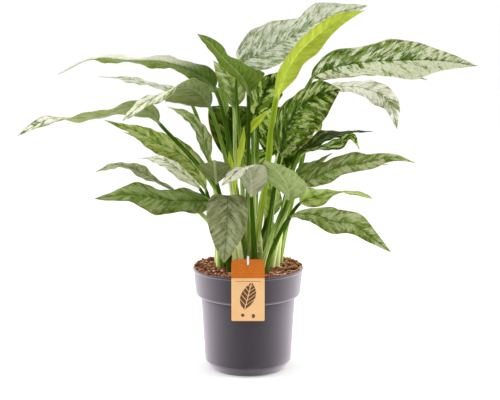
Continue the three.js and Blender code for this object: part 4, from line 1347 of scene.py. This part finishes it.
class EvergreenStageSettings(bpy.types.PropertyGroup):
    floor_colour: FloatVectorProperty(
        name="Floor", description="The floor's colour", default=(0.94, 0.94, 0.94), subtype="COLOR",
        min=0, max=1)
    surround: FloatProperty(name="Surround", description="Brightness of the white ceiling", default=1.08)
    wall_light: FloatProperty(
        name="Wall light", description="What the walls add to the ceiling's light", default=0.1)
    front_dimming: FloatProperty(
        name="Front dimming", description="How much of the front wall's light is missing", default=0.85,
        subtype="FACTOR", min=0, max=1)
    side_light: FloatProperty(
        name="Side light", description="Power of each light at the sides", default=20, unit="POWER")
    top_light: FloatProperty(
        name="Top light", description="Power of the light overhead", default=3, unit="POWER")


class EVERGREEN_OT_stage(bpy.types.Operator):
    """Sets the pale floor, the soft lights and the camera"""

    bl_idname = "evergreen.stage"
    bl_label = "Stage"

    def execute(self, context):
        scene, settings = context.scene, context.scene.evergreen.stage
        white = (1, 1, 1, 1)
        floor = start(
            "floor", bpy.ops.mesh.primitive_circle_add, vertices=96, radius=FLOOR_RADIUS, fill_type="NGON")
        pale = Finish("pale_floor", Roughness=0.8, Emission_Color=white, Emission_Strength=0.05)
        dim = (*(part * 0.98 for part in settings.floor_colour), 1)
        haze = pale.cloud(pale.place(), 0.8)
        pale.colour(dim, (haze, (*settings.floor_colour, 1)))
        floor.data.materials.append(pale.material)

        # The studio's walls and ceiling are white, and its front wall, behind the camera, is dim.
        scene.world = bpy.data.worlds.new("studio")
        scene.world.use_nodes = True
        studio = Nodes(scene.world.node_tree)
        x, y, z = studio.split(studio.node("ShaderNodeTexCoord", None, None, "Generated"))
        front = (0 - y).over(0.15, 0.85) * (1 - abs(z).over(0.3, 0.75))
        walls = (1 - abs(z).over(0.25, 0.6)) * settings.wall_light
        strength = (walls + settings.surround) * (1 - front * settings.front_dimming)
        sky = studio.tree.nodes["Background"]
        sky.inputs["Color"].default_value = white
        studio.tree.links.new(strength.socket, sky.inputs["Strength"])

        for name, (at, (wide, tall), power) in LIGHTS.items():
            light = start(name, bpy.ops.object.light_add, type="AREA", location=at)
            light.data.shape = "RECTANGLE"
            light.data.size, light.data.size_y = wide, tall
            light.data.energy = getattr(settings, power)
            light.rotation_euler = (PLANT_MIDDLE - Vector(at)).to_track_quat("-Z", "Y").to_euler()

        tilt = math.radians(90 - CAMERA["down"])
        camera = start("camera", bpy.ops.object.camera_add, location=CAMERA["at"], rotation=(tilt, 0, 0))
        camera.data.lens = CAMERA["lens"]
        camera.data.sensor_width = CAMERA["sensor"]
        camera.data.clip_start, camera.data.clip_end = CAMERA["clip"]
        scene.camera = camera
        scene.view_settings.view_transform = "Standard"
        return {"FINISHED"}


# ---- The add-on ----

class EvergreenSettings(bpy.types.PropertyGroup):
    pot: PointerProperty(type=EvergreenPotSettings)
    soil: PointerProperty(type=EvergreenSoilSettings)
    canes: PointerProperty(type=EvergreenCaneSettings)
    leaves: PointerProperty(type=EvergreenLeafSettings)
    tag: PointerProperty(type=EvergreenTagSettings)
    stage: PointerProperty(type=EvergreenStageSettings)


OPERATORS = (
    EVERGREEN_OT_stage,
    EVERGREEN_OT_pot,
    EVERGREEN_OT_soil,
    EVERGREEN_OT_bark,
    EVERGREEN_OT_canes,
    EVERGREEN_OT_leaves,
    EVERGREEN_OT_tag,
    EVERGREEN_OT_hook,
)


class EVERGREEN_PT_panel(bpy.types.Panel):
    """Lists the plant's pieces and their settings"""

    bl_idname = "EVERGREEN_PT_panel"
    bl_label = "Potted Chinese Evergreen"
    bl_space_type = "VIEW_3D"
    bl_region_type = "UI"
    bl_category = "Evergreen"

    def draw(self, context):
        settings = context.scene.evergreen
        for group in EvergreenSettings.__annotations__:
            box = self.layout.box()
            box.label(text=group.title())
            part = getattr(settings, group)
            for name in type(part).__annotations__:
                box.prop(part, name)
        for operator in OPERATORS:
            self.layout.operator(operator.bl_idname)


CLASSES = (
    EvergreenPotSettings,
    EvergreenSoilSettings,
    EvergreenCaneSettings,
    EvergreenLeafSettings,
    EvergreenTagSettings,
    EvergreenStageSettings,
    EvergreenSettings,
    *OPERATORS,
    EVERGREEN_PT_panel,
)


def register():
    for each in CLASSES:
        bpy.utils.register_class(each)
    bpy.types.Scene.evergreen = PointerProperty(type=EvergreenSettings)


def unregister():
    del bpy.types.Scene.evergreen
    for each in reversed(CLASSES):
        bpy.utils.unregister_class(each)


def main():
    register()
    bpy.ops.evergreen.stage()
    bpy.ops.evergreen.pot()
    bpy.ops.evergreen.soil()
    bpy.ops.evergreen.bark()
    bpy.ops.evergreen.canes()
    bpy.ops.evergreen.leaves()
    bpy.ops.evergreen.tag()
    bpy.ops.evergreen.hook()


if __name__ == "__main__":
    main()
